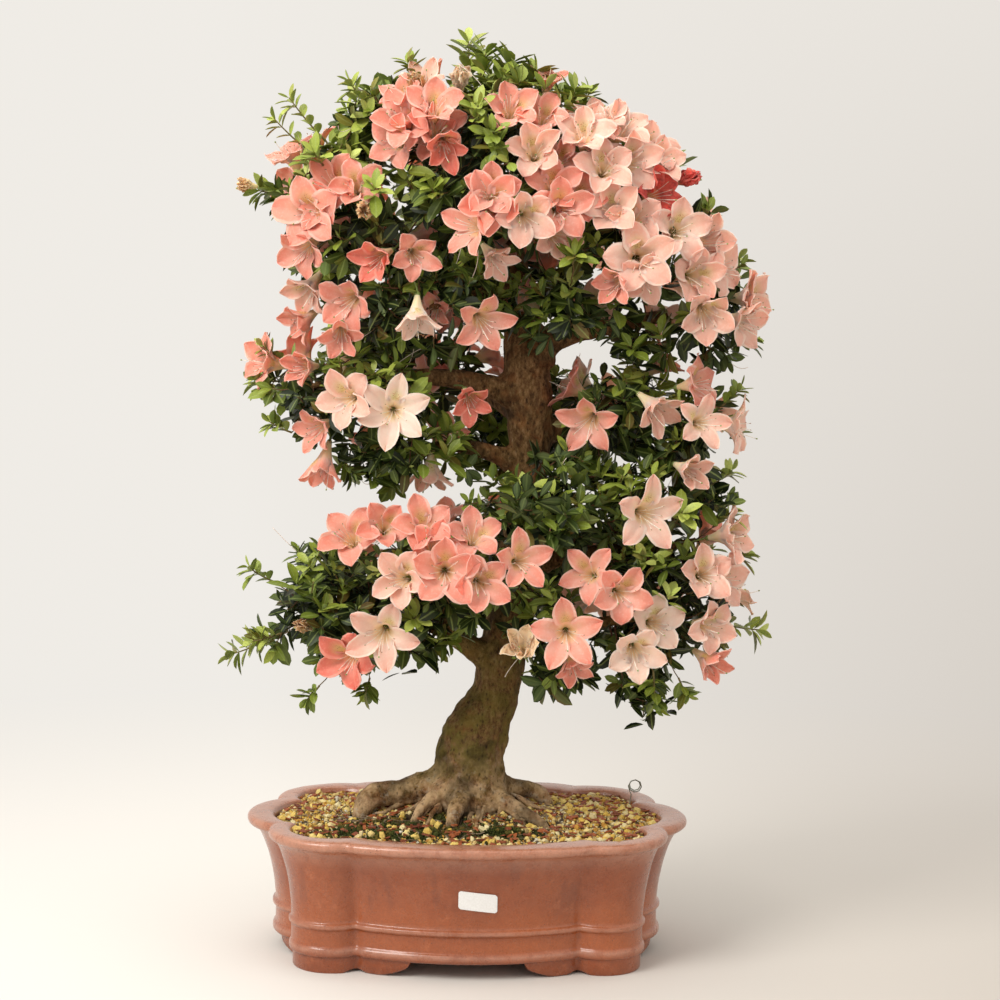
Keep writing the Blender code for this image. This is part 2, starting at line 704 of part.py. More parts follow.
def make_pin():
    """A thin bent wire that stands in the soil with a loose coil at its top."""
    foot = Vector((*PIN_PLACE, mound(*PIN_PLACE) + GAP + PIN_RADIUS))
    middle = foot + PIN_LOOP_MIDDLE
    run = [(*foot, PIN_RADIUS), (*(foot + PIN_STEM), PIN_RADIUS)]
    for k in range(PIN_LOOP_STEPS):
        turn = math.radians(PIN_LOOP_START - PIN_LOOP_STEP * k)
        radius = PIN_LOOP_RADIUS - PIN_LOOP_TIGHTENING * k
        run.append((middle.x + radius * math.cos(turn), middle.y + PIN_LOOP_PITCH * k,
                    middle.z + radius * math.sin(turn), PIN_RADIUS))
    add_piece("wire_pin", tube("wire_pin", [run], kind="POLY", resolution=1), "wire")


def make_label():
    """A blank paper label on the front wall, a little turned, that follows the wall."""
    width, height = LABEL_SIZE

    def corner(share_x, share_z, lift):
        x = LABEL_MIDDLE[0] + (share_x - 0.5) * width
        z = LABEL_MIDDLE[1] + (share_z - 0.5) * height - (share_x - 0.5) * width * LABEL_TURN
        inset = profile_inset(OUTER_PROFILE, z)
        half = FRONT_CREASE.x - FRONT_CREASE_SHIFT.x * inset
        crease_y = FRONT_CREASE.y - FRONT_CREASE_SHIFT.y * inset
        bulge = POT_DEPTH / 2 - inset - crease_y
        radius = (half * half + bulge * bulge) / (2 * bulge)
        reach = radius + lift
        return Vector((x, radius - bulge - crease_y - math.sqrt(reach * reach - x * x), z))

    rings = []
    last = len(LABEL_COLUMNS) - 1
    for k, share in enumerate(LABEL_COLUMNS):
        trim = LABEL_CORNERS.get(min(k, last - k), 0.0)
        rings.append([corner(share, trim, 2 * GAP), corner(share, 1 - trim, 2 * GAP),
                      corner(share, 1 - trim, 3 * GAP), corner(share, trim, 3 * GAP)])
    add_piece("blank_label", loft("blank_label", rings), "label")


# ---------------------------------------------------------------- the tree

def grow_together(wood, share):
    """Join overlapping tubes into one skin, then thin it to a share of its faces."""
    grown = wood.modifiers.new("Grow together", "REMESH")
    grown.mode = "VOXEL"
    grown.voxel_size = WOOD_VOXEL
    grown.use_smooth_shade = True
    thinned = wood.modifiers.new("Thin", "DECIMATE")
    thinned.ratio = share


def parting_planes():
    """Where two foliage masses would meet, the plane that parts them."""
    planes = {name: [] for name in FOLIAGE}
    names = list(FOLIAGE)
    for i, first in enumerate(names):
        for second in names[i + 1:]:
            (c1, r1), (c2, r2) = FOLIAGE[first], FOLIAGE[second]
            step = Vector(c2) - Vector(c1)
            normal = Vector(s / (a + b) ** 2 for s, a, b in zip(step, r1, r2)).normalized()
            reach1 = Vector(n * a for n, a in zip(normal, r1)).length
            reach2 = Vector(n * b for n, b in zip(normal, r2)).length
            apart = step.dot(normal)
            if apart > reach1 + reach2 + FOLIAGE_GAP:
                continue
            meet = Vector(c1) + normal * (apart * reach1 / (reach1 + reach2))
            planes[first].append((meet - normal * FOLIAGE_GAP / 2, normal))
            planes[second].append((meet + normal * FOLIAGE_GAP / 2, -normal))
    return planes


def foliage_mesh(name, planes):
    centre, radii = FOLIAGE[name]
    form = bmesh.new()
    place = Matrix.Translation(centre) @ Matrix.Diagonal((*radii, 1.0))
    bmesh.ops.create_uvsphere(form, u_segments=12, v_segments=8, radius=1.0, matrix=place)
    for point, normal in planes:
        everything = form.verts[:] + form.edges[:] + form.faces[:]
        cut = bmesh.ops.bisect_plane(form, geom=everything, dist=0.000001, plane_co=point,
                                     plane_no=normal, clear_outer=True)
        rim = [item for item in cut["geom_cut"] if isinstance(item, bmesh.types.BMEdge)]
        if rim:
            bmesh.ops.contextual_create(form, geom=rim)
    return to_mesh("foliage_" + name, form, 60.0)


def facing(direction):
    """The turn that brings +Z to a direction."""
    return Vector(direction).normalized().to_track_quat("Z", "Y").to_matrix().to_4x4()


def flower_mesh(tone):
    """A funnel with five petals and a thin wall."""
    outer = []
    for height, notch, tip in FLOWER_RINGS:
        ring = []
        for k in range(2 * PETALS):
            turn = math.pi * k / PETALS
            radius = tip if k % 2 == 0 else notch
            ring.append(Vector((radius * math.cos(turn), radius * math.sin(turn), height)))
        outer.append(ring)
    inner = []
    for ring in reversed(outer):
        lifted = []
        for point in ring:
            flat = Vector((point.x, point.y, 0.0))
            lifted.append(point - flat.normalized() * FLOWER_WALL + Vector((0, 0, FLOWER_WALL)))
        inner.append(lifted)
    return loft("flower_" + tone, outer + inner, 60.0)


def flower_room_mesh(size):
    """The room a flower takes: a cone from its stalk to well past its mouth."""
    form = bmesh.new()
    slope = (ROOM_MOUTH_RADIUS - ROOM_FOOT_RADIUS) / (FLOWER_DEPTH - ROOM_START)
    length = ROOM_END - ROOM_START
    place = Matrix.Translation((0, 0, (ROOM_START + ROOM_END) / 2 * size))
    bmesh.ops.create_cone(form, cap_ends=True, segments=ROOM_SEGMENTS,
                          radius1=ROOM_FOOT_RADIUS * size,
                          radius2=(ROOM_FOOT_RADIUS + slope * length) * size,
                          depth=length * size, matrix=place)
    return to_mesh("flower_room", form)


def make_wood():
    """The trunk with its roots and branches, and the room to leave round them."""
    runs = list(WOOD_RUNS.values())
    wood = add_piece("trunk_and_branches", tube("wood", runs), "bark")
    grow_together(wood, WOOD_SHARE)
    thick_wood = add_cutter("room_for_wood", tube("thick_wood", runs, WOOD_ROOM))
    grow_together(thick_wood, WOOD_ROOM_SHARE)
    return thick_wood


def make_foliage(thick_wood):
    planes = parting_planes()
    pieces = {}
    for name in FOLIAGE:
        pieces[name] = add_piece("foliage_" + name, foliage_mesh(name, planes[name]), "leaf")
        boolean(pieces[name], thick_wood)
    return pieces


def leave_room(foliage, room, point):
    """Cut a room out of every foliage mass that comes near its point."""
    for name, piece in foliage.items():
        centre, radii = FOLIAGE[name]
        offset = Vector(point) - Vector(centre)
        if Vector(o / (r + ROOM_REACH) for o, r in zip(offset, radii)).length < 1.0:
            boolean(piece, room)


def make_shoots(foliage):
    for name, (start, tip) in SHOOTS.items():
        run = [(*Vector(start).lerp(Vector(tip), k / 3), radius)
               for k, radius in enumerate(SHOOT_RADII)]
        shape = tube("shoot_" + name, [run], kind="POLY", resolution=1)
        add_piece("shoot_" + name, shape, "young_leaf")
        room = tube("room_for_shoot", [run], spread=SHOOT_ROOM, kind="POLY", resolution=1)
        leave_room(foliage, add_cutter("room_for_shoot_" + name, room), start)


def make_flowers(foliage):
    meshes = {tone: flower_mesh(tone) for tone in ("coral", "pale", "white")}
    for name, (mouth, direction, size, tone) in FLOWERS.items():
        stalk = Vector(mouth) - Vector(direction).normalized() * FLOWER_DEPTH * size
        place = Matrix.Translation(stalk) @ facing(direction)
        flower = add_piece("flower_" + name, meshes[tone], tone)
        flower.matrix_local = place @ Matrix.Scale(size, 4)
        room = add_cutter("room_for_flower_" + name, flower_room_mesh(size))
        room.matrix_local = place
        leave_room(foliage, room, mouth)


def stand_on_origin():
    """Move everything so that the middle of the footprint is the origin."""
    view = bpy.context.evaluated_depsgraph_get()
    low = Vector((1e9, 1e9, 1e9))
    high = -low
    for piece in PLANT.objects:
        if piece.type != "MESH":
            continue
        shape = piece.evaluated_get(view)
        for vertex in shape.data.vertices:
            point = piece.matrix_world @ vertex.co
            low = Vector(map(min, low, point))
            high = Vector(map(max, high, point))
    ROOT.location = (-(low.x + high.x) / 2, -(low.y + high.y) / 2, -low.z)


def main():
    thick_wood = make_wood()
    make_pot()
    make_soil(thick_wood)
    raised_soil = add_cutter("room_for_soil", soil_mesh("room_for_soil", lift=MOSS_GAP))
    for name in MOSS:
        make_moss(name, thick_wood, raised_soil)
    make_drainage("left", -1)
    make_drainage("right", 1)
    make_label()
    make_pin()
    foliage = make_foliage(thick_wood)
    make_shoots(foliage)
    make_flowers(foliage)
    stand_on_origin()


clear_scene()
PLANT = new_collection("azalea_bonsai")
CUTTERS = new_collection("cutters")
ROOT = bpy.data.objects.new("middle_of_pot", None)
PLANT.objects.link(ROOT)
main()
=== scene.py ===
"""The looks of a flowering azalea bonsai in its pot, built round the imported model.

Metres, +Z up, the front at -Y. Places on the plant are given from the middle of the pot's
foot, which the frame's own box of the pot settles.
"""
import math
from functools import partial

import bmesh
import bpy
import numpy as np
from mathutils import Matrix, Vector, noise
from mathutils.bvhtree import BVHTree


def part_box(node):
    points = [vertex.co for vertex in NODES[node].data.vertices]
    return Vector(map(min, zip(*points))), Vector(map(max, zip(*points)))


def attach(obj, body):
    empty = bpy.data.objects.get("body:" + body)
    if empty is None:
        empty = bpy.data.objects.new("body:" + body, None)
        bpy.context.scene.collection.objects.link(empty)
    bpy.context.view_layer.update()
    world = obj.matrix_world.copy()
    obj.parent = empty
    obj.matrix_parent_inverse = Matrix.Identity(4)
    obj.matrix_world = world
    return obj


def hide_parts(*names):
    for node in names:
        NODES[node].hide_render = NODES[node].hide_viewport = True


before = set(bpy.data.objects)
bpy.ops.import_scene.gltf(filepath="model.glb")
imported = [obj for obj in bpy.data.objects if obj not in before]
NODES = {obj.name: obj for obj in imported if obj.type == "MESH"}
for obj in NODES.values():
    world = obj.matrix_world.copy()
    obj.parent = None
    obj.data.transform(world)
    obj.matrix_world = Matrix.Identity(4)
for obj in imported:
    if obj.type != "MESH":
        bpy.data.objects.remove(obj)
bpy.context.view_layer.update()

POT_LOW, POT_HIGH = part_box("pot")
MIDDLE = Vector(((POT_LOW.x + POT_HIGH.x) / 2, (POT_LOW.y + POT_HIGH.y) / 2, 0.0))
UP = np.array((0.0, 0.0, 1.0))

# Camera: its place from the middle of the pot, and how it is turned
CAMERA_PLACE = Vector((-0.0378, -2.4674, 0.7048))
CAMERA_YAW = math.radians(1.518)
CAMERA_PITCH = math.radians(-5.659)
CAMERA_ROLL = math.radians(0.958)
CAMERA_LENS = 88.13

# The pale tone of most flowers on the right partly stands in for the brighter light there: painted
# light.
# Flowers that stand for a piece of the imported model: the way each faces, its size, tone and form
NAMED_FLOWERS = {
    "crown_left_top": ((-0.2, -0.9, 0.4), 1.0, "coral", "open"),
    "crown_front": ((0.0, -1.0, 0.1), 1.0, "coral", "open"),
    "crown_front_right": ((0.2, -1.0, 0.0), 1.0, "coral", "open"),
    "crown_right_top": ((0.1, -0.8, 0.5), 1.0, "pale", "open"),
    "crown_right_outer": ((0.4, -0.6, 0.6), 1.0, "pale", "open"),
    "crown_right_front": ((0.1, -1.0, 0.0), 1.1, "pale", "open"),
    "right_shoulder": ((0.6, -0.8, 0.2), 1.0, "pale", "open"),
    "far_right": ((0.9, -0.4, 0.0), 1.0, "pale", "open"),
    "left_shoulder": ((-0.3, -0.9, 0.0), 1.1, "coral", "open"),
    "left_under": ((-0.5, -0.5, -0.7), 1.0, "pale", "bell"),
    "hanging_front": ((0.0, -0.5, -1.0), 0.9, "white", "bell"),
    "upper_front": ((0.3, -0.8, -0.3), 1.0, "coral", "star"),
    "middle_left_front": ((0.0, -1.0, 0.0), 1.1, "white", "six"),
    "middle_left_outer": ((-0.9, -0.5, 0.2), 1.0, "coral", "open"),
    "middle_left_hanging": ((-0.2, -0.4, -0.9), 1.0, "coral", "bell"),
    "middle_right_inner": ((-0.3, -0.8, -0.3), 1.0, "coral", "star"),
    "middle_right_outer": ((1.0, -0.3, -0.1), 1.0, "pale", "open"),
    "right_front": ((0.4, -0.9, 0.0), 1.1, "pale", "star"),
    "low_left_upper": ((-0.2, -0.8, 0.5), 1.0, "coral", "open"),
    "low_front": ((0.0, -1.0, 0.1), 1.1, "coral", "open"),
    "low_left_front": ((-0.1, -1.0, -0.2), 1.1, "pale", "star"),
    "low_centre_right": ((0.0, -1.0, 0.0), 1.1, "coral", "star"),
    "low_right_outer": ((0.8, -0.6, 0.1), 1.0, "pale", "open"),
    "back_crown": ((0.0, 0.9, 0.3), 1.0, "coral", "open"),
    "back_low": ((0.0, 1.0, 0.2), 1.0, "coral", "open"),
}

# The pale tone of most flowers on the right partly stands in for the brighter light there: painted
# light.
# More flowers: the middle of the mouth, the way it faces, size, tone and form
MORE_FLOWERS = (
    ((-0.045, -0.118, 0.852), (0.0, -0.8, 0.6), 0.95, "coral", "open"),
    ((-0.084, -0.108, 0.813), (-0.4, -0.9, 0.1), 0.9, "coral", "open"),
    ((-0.033, -0.130, 0.806), (0.1, -0.8, -0.4), 1.0, "red_coral", "bell"),
    ((-0.039, -0.110, 0.830), (0.2, -0.8, 0.5), 0.95, "coral", "open"),
    ((0.030, -0.112, 0.850), (0.1, -0.8, 0.5), 0.95, "coral", "open"),
    ((0.052, -0.130, 0.808), (0.0, -0.9, 0.3), 1.0, "pale", "open"),
    ((0.098, -0.120, 0.829), (0.0, -0.7, 0.6), 0.95, "pale", "open"),
    ((0.138, -0.096, 0.836), (0.3, -0.6, 0.7), 1.0, "pale", "open"),
    ((0.148, -0.108, 0.800), (0.3, -0.9, 0.2), 0.95, "pale", "open"),
    ((0.162, -0.062, 0.827), (0.6, -0.5, 0.6), 0.9, "pale", "open"),
    ((0.178, -0.092, 0.770), (0.6, -0.7, 0.2), 0.95, "red", "open"),
    ((0.206, -0.072, 0.786), (0.8, -0.5, 0.3), 0.8, "red", "withered"),
    ((0.126, -0.128, 0.755), (-0.2, -0.9, 0.3), 0.95, "pale", "open"),
    ((-0.015, -0.156, 0.734), (-0.7, -0.7, 0.1), 1.00, "coral", "star"),
    ((0.011, -0.158, 0.769), (0.1, -1.0, 0.3), 0.95, "coral", "open"),
    ((0.044, -0.160, 0.743), (0.2, -1.0, -0.1), 0.95, "pale", "open"),
    ((0.196, -0.108, 0.736), (0.3, -0.9, 0.2), 1.0, "pale", "open"),
    ((0.214, -0.100, 0.690), (0.4, -0.9, 0.0), 1.0, "pale", "open"),
    ((0.246, -0.064, 0.700), (0.8, -0.6, 0.1), 1.0, "pale", "open"),
    ((0.224, -0.096, 0.650), (0.2, -0.9, -0.4), 1.0, "pale", "open"),
    ((0.270, -0.058, 0.644), (0.8, -0.6, -0.2), 0.95, "pale", "open"),
    ((0.232, -0.040, 0.719), (0.7, -0.5, 0.5), 0.9, "pale", "open"),
    ((-0.146, -0.100, 0.776), (-0.4, -0.8, 0.4), 1.0, "coral", "open"),
    ((-0.118, -0.118, 0.772), (-0.1, -0.9, 0.3), 0.85, "coral", "open"),
    ((-0.100, -0.124, 0.700), (-0.5, -0.8, -0.3), 1.0, "red_coral", "bell"),
    ((-0.060, -0.122, 0.704), (0.2, -0.9, -0.2), 0.95, "coral", "bell"),
    ((-0.172, -0.094, 0.706), (-0.5, -0.7, -0.4), 0.95, "coral", "open"),
    ((-0.128, -0.092, 0.657), (-0.4, -0.8, -0.3), 1.00, "coral", "open"),
    ((-0.176, -0.052, 0.636), (-0.7, -0.5, -0.5), 0.85, "coral", "bell"),
    ((0.018, -0.124, 0.700), (0.5, -0.6, -0.6), 0.85, "pale", "bell"),
    ((-0.128, -0.124, 0.568), (-0.4, -0.9, 0.0), 1.0, "pale", "open"),
    ((-0.172, -0.084, 0.596), (-0.6, -0.8, 0.0), 0.9, "coral", "bell"),
    ((-0.159, -0.080, 0.533), (-0.6, -0.7, -0.3), 0.95, "coral", "bell"),
    ((-0.044, -0.064, 0.486), (-0.1, -0.3, -0.9), 0.9, "pale", "bell"),
    ((-0.004, -0.078, 0.562), (0.2, -0.8, -0.4), 0.85, "red_coral", "bell"),
    ((0.182, -0.078, 0.556), (0.6, -0.6, -0.5), 1.0, "pale", "bell"),
    ((0.226, -0.064, 0.586), (0.8, -0.5, 0.2), 0.95, "coral", "open"),
    ((0.214, -0.084, 0.498), (0.5, -0.8, -0.2), 0.95, "pale", "bell"),
    ((0.262, -0.060, 0.436), (0.8, -0.5, 0.2), 0.95, "pale", "open"),
    ((-0.086, -0.110, 0.446), (0.1, -0.9, 0.4), 0.95, "coral", "open"),
    ((-0.048, -0.134, 0.450), (0.0, -0.8, 0.5), 1.0, "coral", "open"),
    ((-0.072, -0.150, 0.398), (-0.3, -0.9, 0.1), 1.0, "pale", "open"),
    ((0.008, -0.166, 0.396), (0.2, -1.0, 0.0), 1.0, "coral", "open"),
    ((0.048, -0.152, 0.416), (0.3, -0.9, 0.1), 1.0, "coral", "star"),
    ((0.000, -0.136, 0.442), (0.1, -0.8, 0.6), 0.9, "coral", "open"),
    ((-0.124, -0.112, 0.312), (-0.4, -0.9, -0.2), 1.0, "red_coral", "open"),
    ((0.110, -0.120, 0.402), (-0.3, -0.9, 0.2), 0.95, "coral", "star"),
    ((0.144, -0.136, 0.384), (0.2, -0.9, 0.0), 1.0, "coral", "open"),
    ((0.158, -0.142, 0.326), (0.1, -0.9, -0.2), 1.0, "white", "open"),
    ((0.182, -0.108, 0.352), (0.3, -0.9, 0.1), 0.95, "white", "open"),
    ((0.240, -0.088, 0.347), (0.6, -0.7, 0.0), 0.95, "pale", "open"),
    ((0.240, -0.078, 0.306), (0.6, -0.7, -0.4), 0.9, "coral", "bell"),
    ((0.098, -0.128, 0.308), (0.2, -0.8, -0.6), 0.8, "coral", "bell"),
    ((0.046, -0.142, 0.335), (-0.2, -0.8, 0.5), 0.85, "cream", "bell"),
    ((-0.168, -0.072, 0.340), (-0.6, -0.7, 0.3), 0.55, "ochre", "withered"),
    ((-0.020, -0.092, 0.878), (0.0, -0.6, 0.8), 0.8, "cream", "withered"),
    ((-0.062, -0.086, 0.872), (-0.2, -0.6, 0.7), 0.7, "ochre", "withered"),
    ((-0.110, -0.126, 0.748), (0.1, -0.9, -0.3), 0.65, "ochre", "withered"),
    ((0.067, -0.064, 0.881), (0.2, -0.4, 0.9), 0.70, "coral", "bell"),
    ((-0.232, -0.014, 0.772), (-0.9, -0.2, 0.1), 0.55, "ochre", "withered"),
    ((0.071, -0.134, 0.776), (0.1, -0.9, 0.3), 0.95, "coral", "open"),
    ((-0.131, -0.106, 0.624), (0.0, -0.8, -0.5), 0.85, "coral", "bell"),
    ((0.226, -0.086, 0.548), (0.4, -0.9, 0.1), 0.90, "pale", "star"),
    ((0.229, -0.096, 0.400), (0.2, -0.9, 0.2), 1.00, "pale", "open"),
    ((-0.038, -0.140, 0.430), (0.1, -0.9, 0.4), 0.85, "coral", "open"),
    ((-0.073, -0.094, 0.842), (-0.3, -0.7, 0.6), 0.95, "coral", "open"),
    ((0.120, -0.126, 0.794), (0.1, -0.9, 0.3), 0.95, "pale", "open"),
    ((0.058, -0.104, 0.846), (0.0, -0.7, 0.6), 0.90, "coral", "open"),
    ((0.117, -0.090, 0.846), (0.1, -0.5, 0.8), 0.90, "pale", "open"),
    ((0.150, -0.118, 0.746), (0.1, -0.9, 0.3), 0.90, "pale", "open"),
    ((0.128, -0.128, 0.681), (-0.5, -0.8, -0.3), 0.95, "coral", "bell"),
    ((0.278, -0.040, 0.669), (0.8, -0.6, 0.0), 0.90, "pale", "open"),
    ((-0.055, -0.080, 0.877), (0.0, -0.6, 0.8), 0.85, "pale", "bell"),
    ((-0.079, -0.090, 0.861), (-0.4, -0.6, 0.7), 0.85, "coral", "bell"),
    ((0.178, -0.085, 0.805), (0.5, -0.7, 0.5), 0.90, "pale", "open"),
    ((-0.046, -0.100, 0.821), (-0.3, -0.8, 0.3), 0.90, "coral", "open"),
    ((0.078, -0.110, 0.800), (0.2, -0.9, 0.3), 0.85, "coral", "open"),
    ((0.075, -0.130, 0.726), (0.3, -0.9, -0.1), 0.85, "pale", "open"),
    ((-0.154, -0.105, 0.751), (-0.3, -0.9, 0.3), 0.85, "coral", "open"),
    ((-0.042, -0.070, 0.651), (-0.2, -0.9, -0.3), 0.75, "coral", "bell"),
    ((0.161, -0.120, 0.686), (0.2, -0.9, -0.3), 0.85, "pale", "open"),
    ((0.096, -0.120, 0.764), (0.2, -0.9, 0.2), 0.85, "coral", "open"),
)

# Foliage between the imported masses: the middle and half sizes of each
MORE_FOLIAGE = (
    ((-0.095, -0.030, 0.838), (0.042, 0.050, 0.032)),
    ((0.160, -0.020, 0.618), (0.055, 0.060, 0.028)),
    ((0.165, -0.035, 0.480), (0.055, 0.060, 0.028)),
    ((0.235, -0.020, 0.466), (0.036, 0.050, 0.030)),
    ((-0.130, -0.030, 0.494), (0.030, 0.046, 0.018)),
    ((-0.060, -0.060, 0.330), (0.050, 0.046, 0.022)),
    ((0.084, -0.060, 0.294), (0.032, 0.042, 0.016)),
    ((0.168, -0.040, 0.284), (0.024, 0.046, 0.018)),
    ((0.268, -0.010, 0.680), (0.018, 0.050, 0.044)),
    ((0.087, -0.055, 0.503), (0.034, 0.040, 0.026)),
)

# Air at the foliage's edges, seen from the front: middle x and z, half width and half height
CLEARINGS = (
    (-0.212, 0.722, 0.028, 0.046), (-0.198, 0.672, 0.024, 0.032), (-0.204, 0.540, 0.034, 0.030),
    (-0.214, 0.392, 0.038, 0.044), (-0.212, 0.345, 0.026, 0.020), (-0.186, 0.294, 0.036, 0.020),
    (0.184, 0.846, 0.026, 0.034), (0.210, 0.778, 0.020, 0.030), (0.258, 0.506, 0.030, 0.028),
    (0.222, 0.288, 0.030, 0.028), (-0.118, 0.466, 0.050, 0.018), (-0.046, 0.272, 0.048, 0.018),
    (-0.026, 0.300, 0.018, 0.018), (0.092, 0.262, 0.050, 0.018), (0.268, 0.583, 0.018, 0.034),
    (0.105, 0.880, 0.030, 0.018), (-0.122, 0.874, 0.018, 0.014), (-0.155, 0.286, 0.026, 0.016),
    (0.290, 0.698, 0.024, 0.032), (0.118, 0.607, 0.034, 0.022),
)

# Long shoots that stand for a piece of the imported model: which way along an axis each one grows
NAMED_SHOOTS = {
    "top": (2, 1),
    "left_upper": (0, -1),
    "left_middle": (0, -1),
    "left_low": (0, -1),
    "right_low": (0, 1),
}

# More shoots that stand out of the foliage: foot, tip, leaf length and how young the leaves are
MORE_SHOOTS = (
    ((-0.150, -0.050, 0.815), (-0.196, -0.062, 0.868), 0.022, 0.85),
    ((-0.160, -0.040, 0.800), (-0.212, -0.048, 0.846), 0.020, 0.80),
    ((-0.110, -0.060, 0.850), (-0.136, -0.070, 0.884), 0.020, 0.75),
    ((-0.060, -0.060, 0.870), (-0.078, -0.068, 0.908), 0.022, 0.70),
    ((0.020, -0.050, 0.872), (0.038, -0.056, 0.914), 0.034, 0.58),
    ((0.046, -0.050, 0.868), (0.062, -0.056, 0.902), 0.030, 0.62),
    ((0.000, -0.040, 0.880), (0.010, -0.044, 0.924), 0.032, 0.66),
    ((0.030, -0.080, 0.862), (0.046, -0.096, 0.884), 0.030, 0.60),
    ((-0.010, -0.100, 0.838), (0.004, -0.128, 0.856), 0.028, 0.72),
    ((0.012, -0.110, 0.816), (0.012, -0.140, 0.828), 0.026, 0.66),
    ((0.086, -0.070, 0.856), (0.098, -0.080, 0.876), 0.026, 0.62),
    ((-0.150, -0.090, 0.790), (-0.166, -0.110, 0.812), 0.026, 0.70),
    ((-0.100, -0.110, 0.760), (-0.098, -0.140, 0.776), 0.024, 0.72),
    ((-0.040, -0.120, 0.760), (-0.050, -0.146, 0.776), 0.024, 0.55),
    ((0.090, -0.120, 0.700), (0.092, -0.150, 0.716), 0.026, 0.60),
    ((-0.060, -0.110, 0.350), (-0.052, -0.146, 0.366), 0.026, 0.70),
    ((0.200, -0.080, 0.450), (0.206, -0.112, 0.470), 0.026, 0.72),
    ((0.100, -0.040, 0.850), (0.114, -0.046, 0.884), 0.022, 0.65),
    ((-0.190, -0.040, 0.560), (-0.228, -0.050, 0.590), 0.020, 0.55),
    ((-0.180, -0.060, 0.530), (-0.216, -0.070, 0.548), 0.022, 0.60),
    ((-0.186, -0.050, 0.600), (-0.222, -0.060, 0.622), 0.020, 0.65),
    ((-0.196, -0.050, 0.380), (-0.236, -0.060, 0.404), 0.022, 0.60),
    ((-0.190, -0.060, 0.330), (-0.234, -0.066, 0.318), 0.024, 0.85),
    ((-0.150, -0.070, 0.280), (-0.172, -0.080, 0.256), 0.022, 0.45),
    ((-0.100, -0.080, 0.290), (-0.108, -0.088, 0.262), 0.022, 0.45),
    ((0.180, -0.080, 0.300), (0.184, -0.090, 0.248), 0.026, 0.50),
    ((0.206, -0.070, 0.292), (0.222, -0.076, 0.262), 0.022, 0.55),
    ((0.240, -0.040, 0.440), (0.272, -0.046, 0.470), 0.024, 0.90),
    ((0.236, -0.030, 0.480), (0.272, -0.034, 0.506), 0.022, 0.85),
    ((0.250, -0.030, 0.400), (0.292, -0.034, 0.420), 0.022, 0.60),
    ((0.246, -0.030, 0.560), (0.276, -0.034, 0.590), 0.020, 0.60),
    ((0.260, 0.010, 0.620), (0.298, 0.012, 0.630), 0.022, 0.50),
    ((0.220, 0.090, 0.700), (0.240, 0.112, 0.730), 0.022, 0.70),
    ((-0.060, 0.150, 0.780), (-0.078, 0.172, 0.812), 0.022, 0.75),
    ((0.090, 0.160, 0.800), (0.100, 0.180, 0.836), 0.022, 0.75),
    ((0.040, 0.180, 0.400), (0.046, 0.204, 0.430), 0.022, 0.75),
)

# How far a leaf's half width has come at shares of its length
LEAF_STATIONS = np.array((0.14, 0.36, 0.60, 0.83))
LEAF_WIDTHS = np.array((0.46, 0.88, 1.00, 0.70))
LEAF_THICKNESS = 0.0006

# Petal outline: share of its half width at shares of its length
PETAL_SHARES = (0.0, 0.18, 0.38, 0.58, 0.78, 0.92, 1.0)
PETAL_WIDTHS = {
    "open": (0.60, 0.84, 1.00, 1.03, 0.84, 0.46, 0.06),
    "star": (0.62, 0.86, 1.00, 0.96, 0.72, 0.36, 0.05),
    "six": (0.60, 0.86, 1.02, 1.00, 0.76, 0.40, 0.06),
    "bell": (0.62, 0.84, 0.96, 0.92, 0.70, 0.38, 0.10),
    "withered": (0.62, 0.80, 0.86, 0.74, 0.56, 0.34, 0.12),
}
# For each form: petals, the lean of a petal where it leaves the tube and at its tip, and ruffle
FLOWER_FORMS = {
    "open": (5, 27.0, 84.0, 1.9),
    "star": (5, 32.0, 92.0, 1.4),
    "six": (6, 34.0, 88.0, 1.0),
    "bell": (5, 20.0, 60.0, 1.6),
    "withered": (5, 22.0, -18.0, 3.2),
}
PETAL_BREADTH = {"star": 0.86, "six": 0.80, "bell": 0.92, "withered": 0.82}
TUBE_LENGTH = 0.018
TUBE_FOOT = 0.0024
TUBE_LEAN = 8.0
PETAL_LENGTH = 0.029
PETAL_HALF_WIDTH = 0.0130
PETAL_THICKNESS = 0.0005
TUBE_ROWS = 5
PETAL_ROWS = 9
PETAL_COLUMNS = 8
RUN_STEPS = 24
FLOWER_HEIGHT = 0.034
STALK_LENGTH = 0.018

# Petal colours by tone: the body, the deeper middle and tips, and the paler heart and rim
TONES = {
    "coral": ((0.92, 0.300, 0.220), (0.84, 0.170, 0.120), (0.97, 0.58, 0.48)),
    "red_coral": ((0.88, 0.200, 0.140), (0.78, 0.100, 0.070), (0.95, 0.42, 0.33)),
    "pale": ((0.96, 0.470, 0.365), (0.93, 0.330, 0.250), (0.97, 0.74, 0.62)),
    "white": ((0.97, 0.590, 0.470), (0.95, 0.470, 0.350), (0.98, 0.77, 0.65)),
    "red": ((0.78, 0.080, 0.060), (0.62, 0.030, 0.025), (0.88, 0.20, 0.15)),
    "cream": ((0.95, 0.640, 0.400), (0.80, 0.380, 0.150), (0.97, 0.78, 0.58)),
    "ochre": ((0.80, 0.430, 0.180), (0.42, 0.150, 0.040), (0.90, 0.62, 0.36)),
}
TONE_SLOTS = {"coral": "petal_coral", "red_coral": "petal_coral", "red": "petal_coral",
              "pale": "petal_pale", "cream": "petal_pale", "ochre": "petal_pale",
              "white": "petal_white"}


# ---------------------------------------------------------------- node materials

